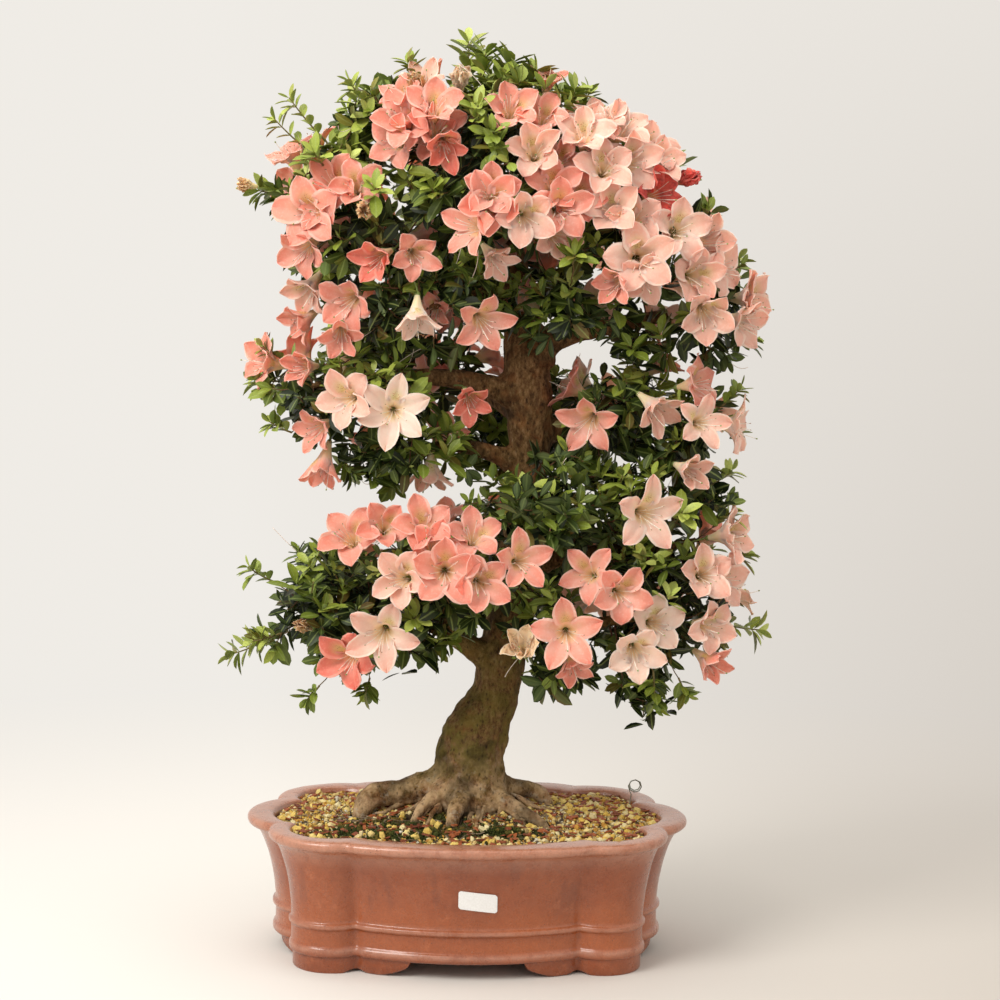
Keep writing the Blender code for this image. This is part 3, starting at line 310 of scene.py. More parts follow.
class Graph:
    """Shader nodes, made by short calls that return the node's output."""

    def __init__(self, tree):
        self.tree = tree

    def node(self, kind, output=0, settings=None, **inputs):
        """A node with its settings. Inputs are given by name, or by number as i0, i1 and so on."""
        made = self.tree.nodes.new(kind)
        for key, value in (settings or {}).items():
            setattr(made, key, value)
        for key, value in inputs.items():
            self.put(made.inputs[int(key[1:]) if key[1:].isdigit() else key], value)
        return made.outputs[output]

    def put(self, socket, value):
        """A socket's link, where the value is another socket, or its constant."""
        if isinstance(value, bpy.types.NodeSocket):
            self.tree.links.new(value, socket)
        elif socket.type == "RGBA" and len(value) == 3:
            socket.default_value = (*value, 1.0)
        else:
            socket.default_value = value

    def place(self):
        return self.node("ShaderNodeTexCoord", 3)

    def axis(self, vector, number):
        return self.node("ShaderNodeSeparateXYZ", number, Vector=vector)

    def height(self):
        return self.axis(self.place(), 2)

    def stretched(self, scale):
        return self.node("ShaderNodeMapping", Vector=self.place(), Scale=scale)

    def noise(self, scale, detail=3.0, roughness=0.55, vector=None):
        return self.node("ShaderNodeTexNoise", Vector=vector or self.place(), Scale=scale,
                         Detail=detail, Roughness=roughness)

    def cells(self, scale, vector=None):
        return self.node("ShaderNodeTexVoronoi", Vector=vector or self.place(), Scale=scale)

    def ramp(self, value, *stops):
        """A blend of colours or greys over (place, colour) stops."""
        made = self.tree.nodes.new("ShaderNodeValToRGB")
        elements = made.color_ramp.elements
        while len(elements) < len(stops):
            elements.new(0.5)
        for element, (where, colour) in zip(elements, stops):
            element.position = where
            colour = (colour,) * 3 if isinstance(colour, float) else colour
            element.color = (*colour, 1.0)
        self.put(made.inputs[0], value)
        return made.outputs[0]

    def rise(self, value, start, full):
        """Nothing up to the start, then growing to one where it is full."""
        return self.ramp(value, (start, 0.0), (full, 1.0))

    def fall(self, value, start, end):
        """One up to the start, then fading to nothing at the end."""
        return self.ramp(value, (start, 1.0), (end, 0.0))

    def patches(self, scale, detail, roughness, start, full):
        """Cloudy patches: where noise rises from the start to full."""
        return self.rise(self.noise(scale, detail, roughness), start, full)

    def maths(self, operation, first, second=0.0):
        return self.node("ShaderNodeMath", 0, {"operation": operation}, i0=first, i1=second)

    def times(self, first, second):
        return self.maths("MULTIPLY", first, second)

    def plus(self, first, second, share=1.0):
        """The first value and a share of the second."""
        return self.maths("ADD", first, second if share == 1.0 else self.times(second, share))

    def swing(self, value, reach):
        """A value about one half as one about nothing, with the given reach."""
        return self.times(self.maths("SUBTRACT", value, 0.5), reach)

    def mix(self, share, first, second, blend="MIX"):
        return self.node("ShaderNodeMix", 2, {"data_type": "RGBA", "blend_type": blend},
                         i0=share, i6=first, i7=second)

    def lay(self, colour, over, strength, *masks):
        """One colour over another, as strongly as all the masks together let it."""
        share = masks[0]
        for mask in masks[1:]:
            share = self.times(share, mask)
        return self.mix(self.times(share, strength), colour, over)

    def shade(self, colour, grey, strength):
        return self.mix(strength, colour, grey, "MULTIPLY")

    def attribute(self, name, output=0):
        """The named attribute: 0 is its colour and 2 its value."""
        return self.node("ShaderNodeAttribute", output, {"attribute_name": name})

    def chance(self):
        return self.attribute("chance", 2)

    def facts(self):
        """The three colour facts of each point."""
        made = self.tree.nodes.new("ShaderNodeSeparateColor")
        self.put(made.inputs[0], self.attribute("form"))
        return made.outputs[:3]

    def bump(self, height, strength, distance, normal=None):
        above = {"Normal": normal} if normal else {}
        return self.node("ShaderNodeBump", Height=height, Strength=strength, Distance=distance, **above)


class Look(Graph):
    """A material's nodes and its shader."""

    def __init__(self, name):
        self.made = bpy.data.materials.new(name)
        self.made.use_nodes = True
        super().__init__(self.made.node_tree)
        self.shader = self.tree.nodes["Principled BSDF"]

    def set(self, **values):
        """Inputs of the shader, with _ for a space in a socket's name."""
        for key, value in values.items():
            self.put(self.shader.inputs[key.replace("_", " ")], value)


def petal_material(tone):
    """Thin ruffled petals: deeper along the middle and at the tip, pale in the heart and at the rim."""
    body, deep, edge = TONES[tone]
    g = Look("petals_" + tone)
    along, across, blotch = g.facts()
    chance = g.chance()
    soft = g.noise(55.0, 4.0)
    middle = g.fall(g.plus(across, soft, 0.25), 0.08, 0.48)
    colour = g.lay(body, deep, 0.16, middle)
    fade = g.swing(soft, 0.35)
    heart = g.fall(g.plus(along, fade), 0.34, 0.76)
    colour = g.lay(colour, edge, 0.52, heart)
    tip = g.rise(g.plus(along, fade), 0.66, 1.0)
    colour = g.lay(colour, deep, 0.40, tip)
    rim = g.rise(g.plus(across, soft, 0.35), 0.90, 1.20)
    colour = g.lay(colour, edge, 0.55, rim)
    funnel = g.fall(along, 0.20, 0.40)
    colour = g.lay(colour, (0.96, 0.70, 0.31), 0.62, funnel)
    shade = g.ramp(chance, (0.0, 0.86), (1.0, 1.0))
    colour = g.shade(colour, shade, 0.8)
    veins = g.noise(420.0, 2.0)
    colour = g.mix(g.ramp(veins, (0.50, 0.0), (0.72, 0.22)), colour, edge)
    if tone in ("cream", "ochre", "red"):
        scorch = g.patches(95.0, 5.0, 0.65, 0.50, 0.66)
        brown = (0.20, 0.060, 0.018) if tone != "red" else (0.22, 0.010, 0.010)
        colour = g.lay(colour, brown, 0.8, scorch)
    else:
        yellow = (0.66, 0.56, 0.17) if tone != "coral" else (0.62, 0.44, 0.11)
        colour = g.lay(colour, yellow, 0.80, blotch)
        spots = g.fall(g.cells(620.0), 0.20, 0.34)
        spots = g.times(spots, g.rise(blotch, 0.35, 0.65))
        colour = g.lay(colour, (0.42, 0.055, 0.045), 0.85, spots)
    g.set(Base_Color=colour, Roughness=g.ramp(soft, (0.3, 0.46), (0.7, 0.60)))
    g.set(Subsurface_Weight=0.50, Subsurface_Radius=(1.0, 0.6, 0.5), Subsurface_Scale=0.0040)
    g.set(Specular_IOR_Level=0.32, Sheen_Weight=0.10, Sheen_Roughness=0.5)
    fine = g.bump(g.noise(900.0, 2.0), 0.20, 0.0003)
    g.set(Normal=g.bump(g.noise(140.0, 3.0), 0.35, 0.0009, fine))
    return g.made


def leaf_material():
    """Small leathery leaves: dark or young green by each leaf, a value that also carries painted light
    and shade, a pale midrib, a paler underside.
    """
    g = Look("leaf")
    youth_and_light, across, above = g.facts()
    chance = g.chance()
    patch = g.noise(38.0, 3.0)
    tone_key = g.plus(youth_and_light, g.swing(patch, 0.22))
    colour = g.ramp(tone_key, (0.0, (0.010, 0.018, 0.004)), (0.22, (0.046, 0.072, 0.010)),
                    (0.50, (0.200, 0.260, 0.030)), (0.75, (0.390, 0.460, 0.074)),
                    (1.0, (0.550, 0.610, 0.170)))
    warm = g.rise(chance, 0.90, 0.97)
    colour = g.lay(colour, (0.20, 0.13, 0.025), 0.65, warm)
    rib = g.fall(across, 0.05, 0.22)
    colour = g.lay(colour, (0.36, 0.44, 0.13), 0.40, rib)
    blotches = g.ramp(g.noise(600.0, 2.0), (0.35, 0.82), (0.65, 1.0))
    colour = g.shade(colour, blotches, 1.0)
    under = g.fall(above, 0.30, 0.46)
    colour = g.lay(colour, (0.150, 0.210, 0.075), 0.50, under)
    g.set(Base_Color=colour, Roughness=g.ramp(patch, (0.3, 0.36), (0.7, 0.50)))
    g.set(Specular_IOR_Level=0.30, Subsurface_Weight=0.0)
    g.set(Normal=g.bump(g.noise(480.0, 3.0), 0.30, 0.0005))
    return g.made


def plain_tinted(name, colours, roughness, scale, bump):
    """A small form whose colour runs through a few tones by each piece, with a grain."""
    g = Look(name)
    grain = g.noise(scale, 4.0)
    stops = [(k / (len(colours) - 1), c) for k, c in enumerate(colours)]
    colour = g.ramp(g.chance(), *stops)
    colour = g.shade(colour, g.ramp(grain, (0.25, 0.55), (0.75, 1.10)), 0.75)
    g.set(Base_Color=colour, Roughness=roughness, Specular_IOR_Level=0.35)
    g.set(Normal=g.bump(grain, 0.5, bump))
    return g.made


def bark_material():
    """Rough brown bark: red-brown above, olive algae on the trunk, greyer knotty roots."""
    g = Look("bark")
    long = g.stretched((1.0, 1.0, 0.55))
    height = g.height()
    grain = g.noise(210.0, 7.0, 0.72, vector=long)
    broad = g.noise(30.0, 5.0, 0.65)
    colour = g.ramp(grain, (0.30, (0.028, 0.013, 0.005)), (0.45, (0.140, 0.070, 0.028)),
                    (0.58, (0.285, 0.155, 0.066)), (0.74, (0.470, 0.310, 0.165)))
    red = g.patches(44.0, 5.0, 0.65, 0.50, 0.60)
    colour = g.lay(colour, (0.290, 0.105, 0.036), 0.42, red)
    low = g.fall(height, 0.170, 0.225)
    grey = g.patches(58.0, 6.0, 0.68, 0.40, 0.58)
    colour = g.lay(colour, (0.660, 0.450, 0.255), 0.76, grey, low)
    ash = g.patches(90.0, 5.0, 0.7, 0.56, 0.66)
    colour = g.lay(colour, (0.520, 0.440, 0.330), 0.60, ash, low)
    green = g.rise(g.plus(broad, grain, 0.35), 0.58, 0.72)
    algae = g.ramp(height, (0.150, 0.15), (0.175, 0.35), (0.205, 0.80), (0.280, 0.60), (0.40, 0.20),
                   (0.60, 0.05))
    colour = g.mix(g.times(green, algae), colour, (0.155, 0.128, 0.024))
    lichen = g.patches(240.0, 5.0, 0.7, 0.60, 0.70)
    colour = g.lay(colour, (0.230, 0.215, 0.075), 0.55, lichen, algae)
    sooty = g.ramp(g.noise(24.0, 5.0, 0.6), (0.38, 0.30), (0.50, 1.0))
    colour = g.shade(colour, sooty, 0.80)
    pits = g.fall(g.cells(230.0, vector=long), 0.10, 0.30)
    colour = g.lay(colour, (0.014, 0.008, 0.005), 0.60, pits)
    g.set(Base_Color=colour, Roughness=g.ramp(grain, (0.3, 0.95), (0.7, 0.74)))
    g.set(Specular_IOR_Level=0.16)
    fine = g.bump(g.noise(620.0, 5.0, 0.7), 0.55, 0.0010)
    knots = g.bump(grain, 0.85, 0.0036, fine)
    g.set(Normal=g.bump(broad, 0.65, 0.0070, knots))
    return g.made


def twig_material():
    """Thin reddish brown twigs, greener near their ends."""
    g = Look("twig")
    tone_key = g.chance()
    grain = g.noise(260.0, 4.0)
    colour = g.ramp(tone_key, (0.0, (0.115, 0.060, 0.034)), (0.55, (0.170, 0.078, 0.036)),
                    (1.0, (0.190, 0.190, 0.060)))
    colour = g.shade(colour, g.ramp(grain, (0.3, 0.55), (0.7, 1.15)), 0.8)
    g.set(Base_Color=colour, Roughness=0.72, Specular_IOR_Level=0.3)
    g.set(Normal=g.bump(grain, 0.5, 0.0006))
    return g.made


def glaze_material():
    """Reddish brown satin glaze: dusty on the lip, rust tints over the bands, pale crests on the ribs
    that are partly a painted highlight, drips and specks.
    """
    g = Look("red_brown_glaze")
    height = g.height()
    cloud = g.noise(9.0, 5.0, 0.6)
    mottle = g.noise(75.0, 5.0, 0.65)
    colour = g.ramp(cloud, (0.32, (0.185, 0.038, 0.009)), (0.50, (0.260, 0.057, 0.013)),
                    (0.68, (0.325, 0.080, 0.021)))
    veil = g.patches(140.0, 6.0, 0.7, 0.42, 0.66)
    colour = g.lay(colour, (0.420, 0.160, 0.085), 0.18, veil)
    drips = g.rise(g.noise(46.0, 3.0, vector=g.stretched((1.0, 1.0, 0.05))), 0.60, 0.68)
    drips = g.times(drips, g.rise(height, 0.050, 0.075))
    colour = g.lay(colour, (0.190, 0.050, 0.020), 0.45, drips)
    fringe = g.plus(height, g.swing(mottle, 0.010))
    rust = g.ramp(fringe, (0.024, 0.0), (0.029, 1.0), (0.046, 0.35), (0.050, 0.20), (0.052, 1.0),
                  (0.060, 0.70), (0.078, 0.0))
    colour = g.lay(colour, (0.420, 0.105, 0.022), 0.42, rust)
    dust = g.ramp(height, (0.108, 0.0), (0.126, 0.75), (0.136, 1.0))
    dust = g.times(dust, g.ramp(mottle, (0.30, 0.45), (0.60, 1.0)))
    colour = g.lay(colour, (0.560, 0.290, 0.195), 0.68, dust)
    # Paler glaze where it breaks over the ribs' crests, made bright enough to stand in for their
    # highlights: partly a painted highlight.
    crest_glaze_and_highlight = g.ramp(height, (0.0190, 0.0), (0.0215, 0.8), (0.0245, 0.8), (0.0262, 0.0), (0.0458, 0.0),
                   (0.0474, 1.0), (0.0494, 1.0), (0.0512, 0.0))
    crest_glaze_and_highlight = g.times(crest_glaze_and_highlight, g.ramp(mottle, (0.30, 0.35), (0.60, 1.0)))
    colour = g.lay(colour, (0.560, 0.310, 0.220), 0.56, crest_glaze_and_highlight)
    worn = g.patches(48.0, 6.0, 0.7, 0.62, 0.69)
    colour = g.lay(colour, (0.470, 0.150, 0.060), 0.35, worn)
    specks = g.fall(g.cells(190.0), 0.07, 0.12)
    specks = g.times(specks, g.patches(34.0, 3.0, 0.55, 0.50, 0.58))
    colour = g.lay(colour, (0.045, 0.020, 0.016), 0.85, specks)
    chips = g.fall(g.cells(330.0), 0.06, 0.11)
    chips = g.times(chips, g.patches(52.0, 3.0, 0.55, 0.56, 0.62))
    colour = g.lay(colour, (0.560, 0.420, 0.320), 0.60, chips)
    grit = g.ramp(g.noise(620.0, 4.0), (0.32, 0.74), (0.62, 1.05))
    colour = g.shade(colour, grit, 0.8)
    g.set(Base_Color=colour, Roughness=g.ramp(mottle, (0.30, 0.22), (0.70, 0.36)))
    g.set(Specular_IOR_Level=0.55, Coat_Weight=0.30, Coat_Roughness=0.15)
    fine = g.bump(g.noise(420.0, 4.0, 0.6), 0.20, 0.0007)
    g.set(Normal=g.bump(g.noise(60.0, 4.0), 0.26, 0.0020, fine))
    return g.made


def soil_material():
    """The ground between the granules: damp, dark and gritty."""
    g = Look("soil_bed")
    grit = g.noise(330.0, 6.0, 0.7)
    colour = g.ramp(grit, (0.30, (0.022, 0.015, 0.008)), (0.52, (0.090, 0.058, 0.026)),
                    (0.70, (0.260, 0.175, 0.070)))
    g.set(Base_Color=colour, Roughness=0.95, Normal=g.bump(grit, 0.9, 0.003))
    return g.made


def label_material():
    """Bare white paper with a faint fibre."""
    g = Look("label_paper")
    fibre = g.noise(700.0, 4.0)
    colour = g.ramp(fibre, (0.3, (0.76, 0.76, 0.74)), (0.7, (0.86, 0.86, 0.85)))
    g.set(Base_Color=colour, Roughness=0.55, Normal=g.bump(fibre, 0.2, 0.0003))
    return g.made


def wire_material():
    """Dull aluminium wire with a brushed, slightly oxidised skin."""
    g = Look("wire")
    skin = g.noise(300.0, 4.0)
    g.set(Base_Color=g.ramp(skin, (0.3, (0.16, 0.17, 0.13)), (0.7, (0.34, 0.34, 0.29))))
    g.set(Metallic=0.8, Roughness=g.ramp(skin, (0.3, 0.38), (0.7, 0.60)))
    g.set(Normal=g.bump(skin, 0.3, 0.0003))
    return g.made


def plastic_material():
    """Black moulded mesh with a fine grain."""
    g = Look("black_mesh")
    grain = g.noise(800.0, 3.0)
    g.set(Base_Color=g.ramp(grain, (0.3, (0.010, 0.010, 0.010)), (0.7, (0.030, 0.030, 0.028))))
    g.set(Roughness=0.55, Normal=g.bump(grain, 0.3, 0.0003))
    return g.made


# ---------------------------------------------------------------- meshes from many small forms

class Gathered:
    """Many small closed forms that become one mesh, with colour facts for each point."""

    def __init__(self):
        self.points = []
        self.faces = {3: [], 4: []}
        self.slots = {3: [], 4: []}
        self.forms = []
        self.chances = []
        self.count = 0

    def add(self, points, faces, form=None, chance=0.5, slot=0):
        """One form: its points, faces of 3 or 4 corners, (r, g, b) facts and a chance value."""
        self.add_many(np.asarray(points)[None], faces, None if form is None else
                      np.asarray(form)[None], np.array([chance]), slot)

    def add_many(self, points, faces, form=None, chance=None, slot=0):
        """Forms of one build: points (many, each, 3), shared faces, facts (many, each, 3)."""
        many, each = points.shape[:2]
        starts = self.count + np.arange(many) * each
        for corners in (3, 4):
            chosen = np.array([f for f in faces if len(f) == corners], int)
            if len(chosen):
                self.faces[corners].append((chosen[None] + starts[:, None, None]).reshape(-1, corners))
                self.slots[corners].append(np.full(many * len(chosen), slot))
        self.points.append(points.reshape(-1, 3))
        form = np.zeros((many, each, 3)) if form is None else form
        self.forms.append(np.broadcast_to(form, (many, each, 3)).reshape(-1, 3))
        chance = np.full(many, 0.5) if chance is None else np.asarray(chance, float)
        if chance.ndim == 1:
            chance = np.repeat(chance, each)
        self.chances.append(chance.reshape(-1))
        self.count += many * each

    def piece(self, name, materials, slot, sharp=60.0):
        """The gathered mesh as a piece that rides with the plant."""
        mesh = bpy.data.meshes.new(name)
        faces, slots = [], []
        for corners in (4, 3):
            if self.faces[corners]:
                faces += np.concatenate(self.faces[corners]).tolist()
                slots.append(np.concatenate(self.slots[corners]))
        points = np.concatenate(self.points)
        mesh.from_pydata(points.tolist(), [], faces)
        mesh.polygons.foreach_set("material_index", np.concatenate(slots).astype(np.int32))
        form = mesh.attributes.new("form", "FLOAT_COLOR", "POINT")
        facts = np.concatenate([np.concatenate(self.forms), np.ones((len(points), 1))], axis=1)
        form.data.foreach_set("color", facts.astype(np.float32).ravel())
        chance = mesh.attributes.new("chance", "FLOAT", "POINT")
        chance.data.foreach_set("value", np.concatenate(self.chances).astype(np.float32))
        for each in materials:
            mesh.materials.append(each)
        mesh.shade_smooth()
        if sharp:
            mesh.set_sharp_from_angle(angle=math.radians(sharp))
        mesh.update()
        return show(name, mesh)


def linked(name, data):
    """A new object in the scene."""
    made = bpy.data.objects.new(name, data)
    bpy.context.scene.collection.objects.link(made)
    return made


def mesh_of(form, name):
    """A mesh from a bmesh, which is used up."""
    mesh = bpy.data.meshes.new(name)
    form.to_mesh(mesh)
    form.free()
    return mesh


def dress(data, look):
    """The one material of a mesh."""
    data.materials.clear()
    data.materials.append(look)


def points_of(data):
    """A mesh's points, one in each row."""
    return np.array([v.co for v in data.vertices])


def show(name, mesh):
    """A mesh as a piece that rides with the plant."""
    piece = linked(name, mesh)
    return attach(piece, "root")


def unit(vectors):
    """The same directions with a length of one."""
    vectors = np.asarray(vectors, float)
    return vectors / np.maximum(np.linalg.norm(vectors, axis=-1, keepdims=True), 1e-9)


def across_of(vectors):
    """A unit vector square to each of the given ones, as level as it can be."""
    side = np.cross(UP, vectors)
    weak = np.linalg.norm(side, axis=-1) < 0.05
    side[weak] = np.cross(np.array((1.0, 0.0, 0.0)), vectors[weak])
    return unit(side)


def tube(path, radii, sides=5):
    """Points and faces of a closed tube along a path, pointed at both ends."""
    path = np.asarray(path, float)
    radii = np.broadcast_to(np.asarray(radii, float), (len(path),))
    along = unit(np.gradient(path, axis=0))
    side = across_of(along[:1])[0]
    rings = []
    for k in range(len(path)):
        side = unit(side - along[k] * side.dot(along[k]))
        up = np.cross(along[k], side)
        turns = 2 * math.pi * np.arange(sides) / sides
        rings.append(path[k] + radii[k] * (np.cos(turns)[:, None] * side
                                           + np.sin(turns)[:, None] * up))
    points = np.concatenate([*rings, [path[0] - along[0] * radii[0] * 0.6],
                             [path[-1] + along[-1] * radii[-1] * 0.9]])
    faces = []
    for k in range(len(path) - 1):
        for j in range(sides):
            a, b = k * sides + j, k * sides + (j + 1) % sides
            faces.append((a, b, b + sides, a + sides))
    first, last = len(path) * sides, len(path) * sides + 1
    top = (len(path) - 1) * sides
    for j in range(sides):
        faces.append((first, (j + 1) % sides, j))
        faces.append((last, top + j, top + (j + 1) % sides))
    return points, faces


def curve_through(start, middle, end, count):
    """Points on the smooth curve that leaves start towards middle and comes to end."""
    t = np.linspace(0, 1, count)[:, None]
    start, middle, end = (np.asarray(p, float) for p in (start, middle, end))
    return (1 - t) ** 2 * start + 2 * t * (1 - t) * middle + t ** 2 * end


# ---------------------------------------------------------------- camera, floor and light

def make_camera():
    """The camera in front of the plant, turned by its yaw, pitch and roll."""
    yaw, pitch, roll = CAMERA_YAW, CAMERA_PITCH, CAMERA_ROLL
    ahead = Vector((math.sin(yaw) * math.cos(pitch), math.cos(yaw) * math.cos(pitch),
                    math.sin(pitch)))
    right = ahead.cross(Vector((0, 0, 1))).normalized()
    up = right.cross(ahead)
    level_right = right * math.cos(roll) + up * math.sin(roll)
    level_up = up * math.cos(roll) - right * math.sin(roll)
    turn = Matrix((level_right, level_up, -ahead)).transposed().to_4x4()
    lens = bpy.data.cameras.new("camera")
    lens.lens = CAMERA_LENS
    lens.sensor_width = 36.0
    lens.clip_end = 50.0
    camera = linked("camera", lens)
    camera.matrix_world = Matrix.Translation(MIDDLE + CAMERA_PLACE) @ turn
    bpy.context.scene.camera = camera


BRIGHT_SIDE = (0.868, 0.838, 0.790)
SHADED_SIDE = (0.590, 0.536, 0.478)
VIEWPOINT = (0.0, -2.5, 0.70)
FLOOR_RADIUS = 14.0
FLOOR_BLEND = (0.35, 1.50)
FLOOR_TINT = (0.82, 0.82, 0.82)
LIGHTS = (
    ("key", (-1.9, -1.9, 2.5), 1.6, 92.0, (1.0, 0.97, 0.93)),
    ("fill", (2.2, -1.4, 1.6), 2.4, 6.0, (1.0, 0.96, 0.92)),
    ("top", (0.0, 0.1, 3.2), 2.0, 33.0, (1.0, 0.98, 0.96)),
)
LIGHT_AIM = Vector((0.0, 0.0, 0.5))


def surroundings(g, direction):
    """The pale surroundings' colour: darker to the right and downwards, a painted shade where it
    colours the floor.
    """
    across = g.ramp(g.times(g.maths("ADD", g.axis(direction, 0), 0.24), 2.0), (0.30, 0.0), (1.0, 1.0))
    down = g.ramp(g.maths("SUBTRACT", 0.5, g.axis(direction, 2)), (0.32, 0.12), (0.80, 1.0))
    return g.mix(g.times(across, down), BRIGHT_SIDE, SHADED_SIDE)


def make_floor():
    """A wide pale disc that melts into the pale surroundings away from the pot: its colour carries
    their painted shade, darker to the right and downwards, and far from the pot it glows with that
    colour as an emission.
    """
    form = bmesh.new()
    bmesh.ops.create_circle(form, cap_ends=True, segments=96, radius=FLOOR_RADIUS)
    g = Look("pale_floor")
    place = g.place()
    away = g.node("ShaderNodeVectorMath", 0, {"operation": "SUBTRACT"}, i0=place, i1=VIEWPOINT)
    away = g.node("ShaderNodeVectorMath", 0, {"operation": "NORMALIZE"}, i0=away)
    colour = surroundings(g, away)
    distance = g.node("ShaderNodeVectorMath", 1, {"operation": "LENGTH"}, i0=place)
    far = g.rise(g.times(distance, 0.2), *(0.2 * reach for reach in FLOOR_BLEND))
    # Painted shade: the floor's colour is the surroundings' gradient, darker to the right and
    # downwards.
    g.set(Base_Color=g.shade(colour, FLOOR_TINT, 1.0), Roughness=0.9, Specular_IOR_Level=0.1)
    glow = g.node("ShaderNodeEmission", Color=colour, Strength=1.0)
    blend = g.node("ShaderNodeMixShader", i0=far, i1=g.shader.outputs[0], i2=glow)
    g.put(g.tree.nodes["Material Output"].inputs[0], blend)
    floor = linked("floor", mesh_of(form, "floor"))
    floor.data.materials.append(g.made)


def make_light():
    """Pale surroundings and three soft lamps."""
    world = bpy.data.worlds.new("pale_surroundings")
    world.use_nodes = True
    g = Graph(world.node_tree)
    g.put(g.tree.nodes["Background"].inputs["Color"],
          surroundings(g, g.node("ShaderNodeTexCoord", 0)))
    bpy.context.scene.world = world
    for name, place, size, power, colour in LIGHTS:
        lamp = bpy.data.lights.new(name, "AREA")
        lamp.size = size
        lamp.energy = power
        lamp.color = colour
        light = linked(name, lamp)
        light.location = MIDDLE + Vector(place)
        light.rotation_euler = (MIDDLE + LIGHT_AIM - light.location).to_track_quat("-Z", "Y").to_euler()
    bpy.context.scene.view_settings.view_transform = "Standard"


# ---------------------------------------------------------------- pot

# The lip's creases and how far each moves for every metre the wall stands in
SIDE_CREASE = np.array((0.199, 0.059))
FRONT_CREASE = np.array((0.121, 0.141))
SIDE_CREASE_SHIFT = np.array((0.95, 0.20))
FRONT_CREASE_SHIFT = np.array((0.32, 1.18))
CREASE_DEPTH = 0.0030
CREASE_WIDTH = 0.0130
CORNER_BULGE = 0.026
CORNER_BULGE_GROWTH = 0.16
LOBE_POINTS = {"side": 40, "corner": 40, "front": 66}
# How far the faces of the pot stand in from the lip, and at what height
OUTER_PROFILE = (
    (0.0312, 0.0160), (0.0285, 0.0168), (0.0268, 0.0184), (0.0263, 0.0205), (0.0264, 0.0232),
    (0.0272, 0.0252), (0.0287, 0.0270), (0.0292, 0.0295), (0.0293, 0.0360), (0.0292, 0.0415),
    (0.0286, 0.0432), (0.0272, 0.0444), (0.0262, 0.0457), (0.0260, 0.0474), (0.0264, 0.0491),
    (0.0280, 0.0503), (0.0290, 0.0520), (0.0286, 0.0580), (0.0268, 0.0730), (0.0230, 0.0920),
    (0.0180, 0.1080), (0.0125, 0.1200), (0.0072, 0.1262), (0.0028, 0.1280), (0.0006, 0.1300),
    (0.0000, 0.1328), (0.0008, 0.1356), (0.0036, 0.1374), (0.0090, 0.1380), (0.0155, 0.1381),
)
INNER_PROFILE = (
    (0.0222, 0.1378), (0.0254, 0.1366), (0.0272, 0.1340), (0.0288, 0.1290), (0.0340, 0.1000),
    (0.0390, 0.0550), (0.0420, 0.0380), (0.0500, 0.0260),
)
PROFILE_STEPS = 3
FOOT_INSET = (0.0312, 0.0440)
FOOT_BEVEL = 0.0016
FOOT_BEVEL_SHARE = 0.12
SCROLL_END = 0.004
SCROLL_RUN = 0.029
FOOT_TOP = 0.0205
FOOT_FRONT_END = 0.055
FOOT_SIDE_END = 0.024
CREASE_RISE = 0.003
CREASE_RISE_WIDTH = 0.011
HOLE_X = 0.090
HOLE_RADIUS = 0.015
FLOOR_TOP = 0.026


def arc(start, end, bulge, steps):
    """Points from start up to end along the arc that stands out by bulge."""
    chord = end - start
    half = np.linalg.norm(chord) / 2
    radius = (half * half + bulge * bulge) / (2 * bulge)
    outward = np.array((chord[1], -chord[0])) / (2 * half)
    centre = (start + end) / 2 + outward * (bulge - radius)
    sweep = 2 * math.asin(half / radius)
    spoke = start - centre
    turns = sweep * np.arange(steps) / steps
    cos, sin = np.cos(turns), np.sin(turns)
    return centre + np.stack([spoke[0] * cos - spoke[1] * sin, spoke[0] * sin + spoke[1] * cos], 1)


def pot_ring(inset):
    """The outline of the pot where its wall stands in by inset: eight lobes and their creases."""
    side = SIDE_CREASE - SIDE_CREASE_SHIFT * inset
    front = FRONT_CREASE - FRONT_CREASE_SHIFT * inset
    creases = []
    for sx, sy in ((1, 1), (-1, 1), (-1, -1), (1, -1)):
        pair = [side * (sx, sy), front * (sx, sy)]
        creases += pair if sx * sy > 0 else pair[::-1]
    side_bulge = (POT_HIGH.x - POT_LOW.x) / 2 - inset - side[0]
    front_bulge = (POT_HIGH.y - POT_LOW.y) / 2 - inset - front[1]
    corner_bulge = CORNER_BULGE + CORNER_BULGE_GROWTH * inset
    lobes = (("corner", corner_bulge), ("front", front_bulge), ("corner", corner_bulge),
             ("side", side_bulge)) * 2
    points = np.concatenate([arc(creases[k], creases[(k + 1) % 8], bulge, LOBE_POINTS[kind])
                             for k, (kind, bulge) in enumerate(lobes)])
    away = np.linalg.norm(points[:, None] - np.array(creases)[None], axis=2).min(1)
    pinch = CREASE_DEPTH * np.clip(1 - away / CREASE_WIDTH, 0, 1) ** 2
    points = points * (1 - pinch / np.linalg.norm(points, axis=1))[:, None]
    points = (np.roll(points, 1, 0) + points * 2 + np.roll(points, -1, 0)) / 4
    return points + np.array(MIDDLE[:2])


def smooth_profile(profile):
    """More points on the smooth curve through a profile's own."""
    given = np.array(profile)
    padded = np.concatenate([given[:1] * 2 - given[1:2], given, given[-1:] * 2 - given[-2:-1]])
    fine = []
    for k in range(1, len(padded) - 2):
        p0, p1, p2, p3 = padded[k - 1:k + 3]
        for t in np.arange(PROFILE_STEPS) / PROFILE_STEPS:
            fine.append(0.5 * (2 * p1 + (p2 - p0) * t + (2 * p0 - 5 * p1 + 4 * p2 - p3) * t ** 2
                               + (3 * p1 - p0 - 3 * p2 + p3) * t ** 3))
    return fine + [given[-1]]


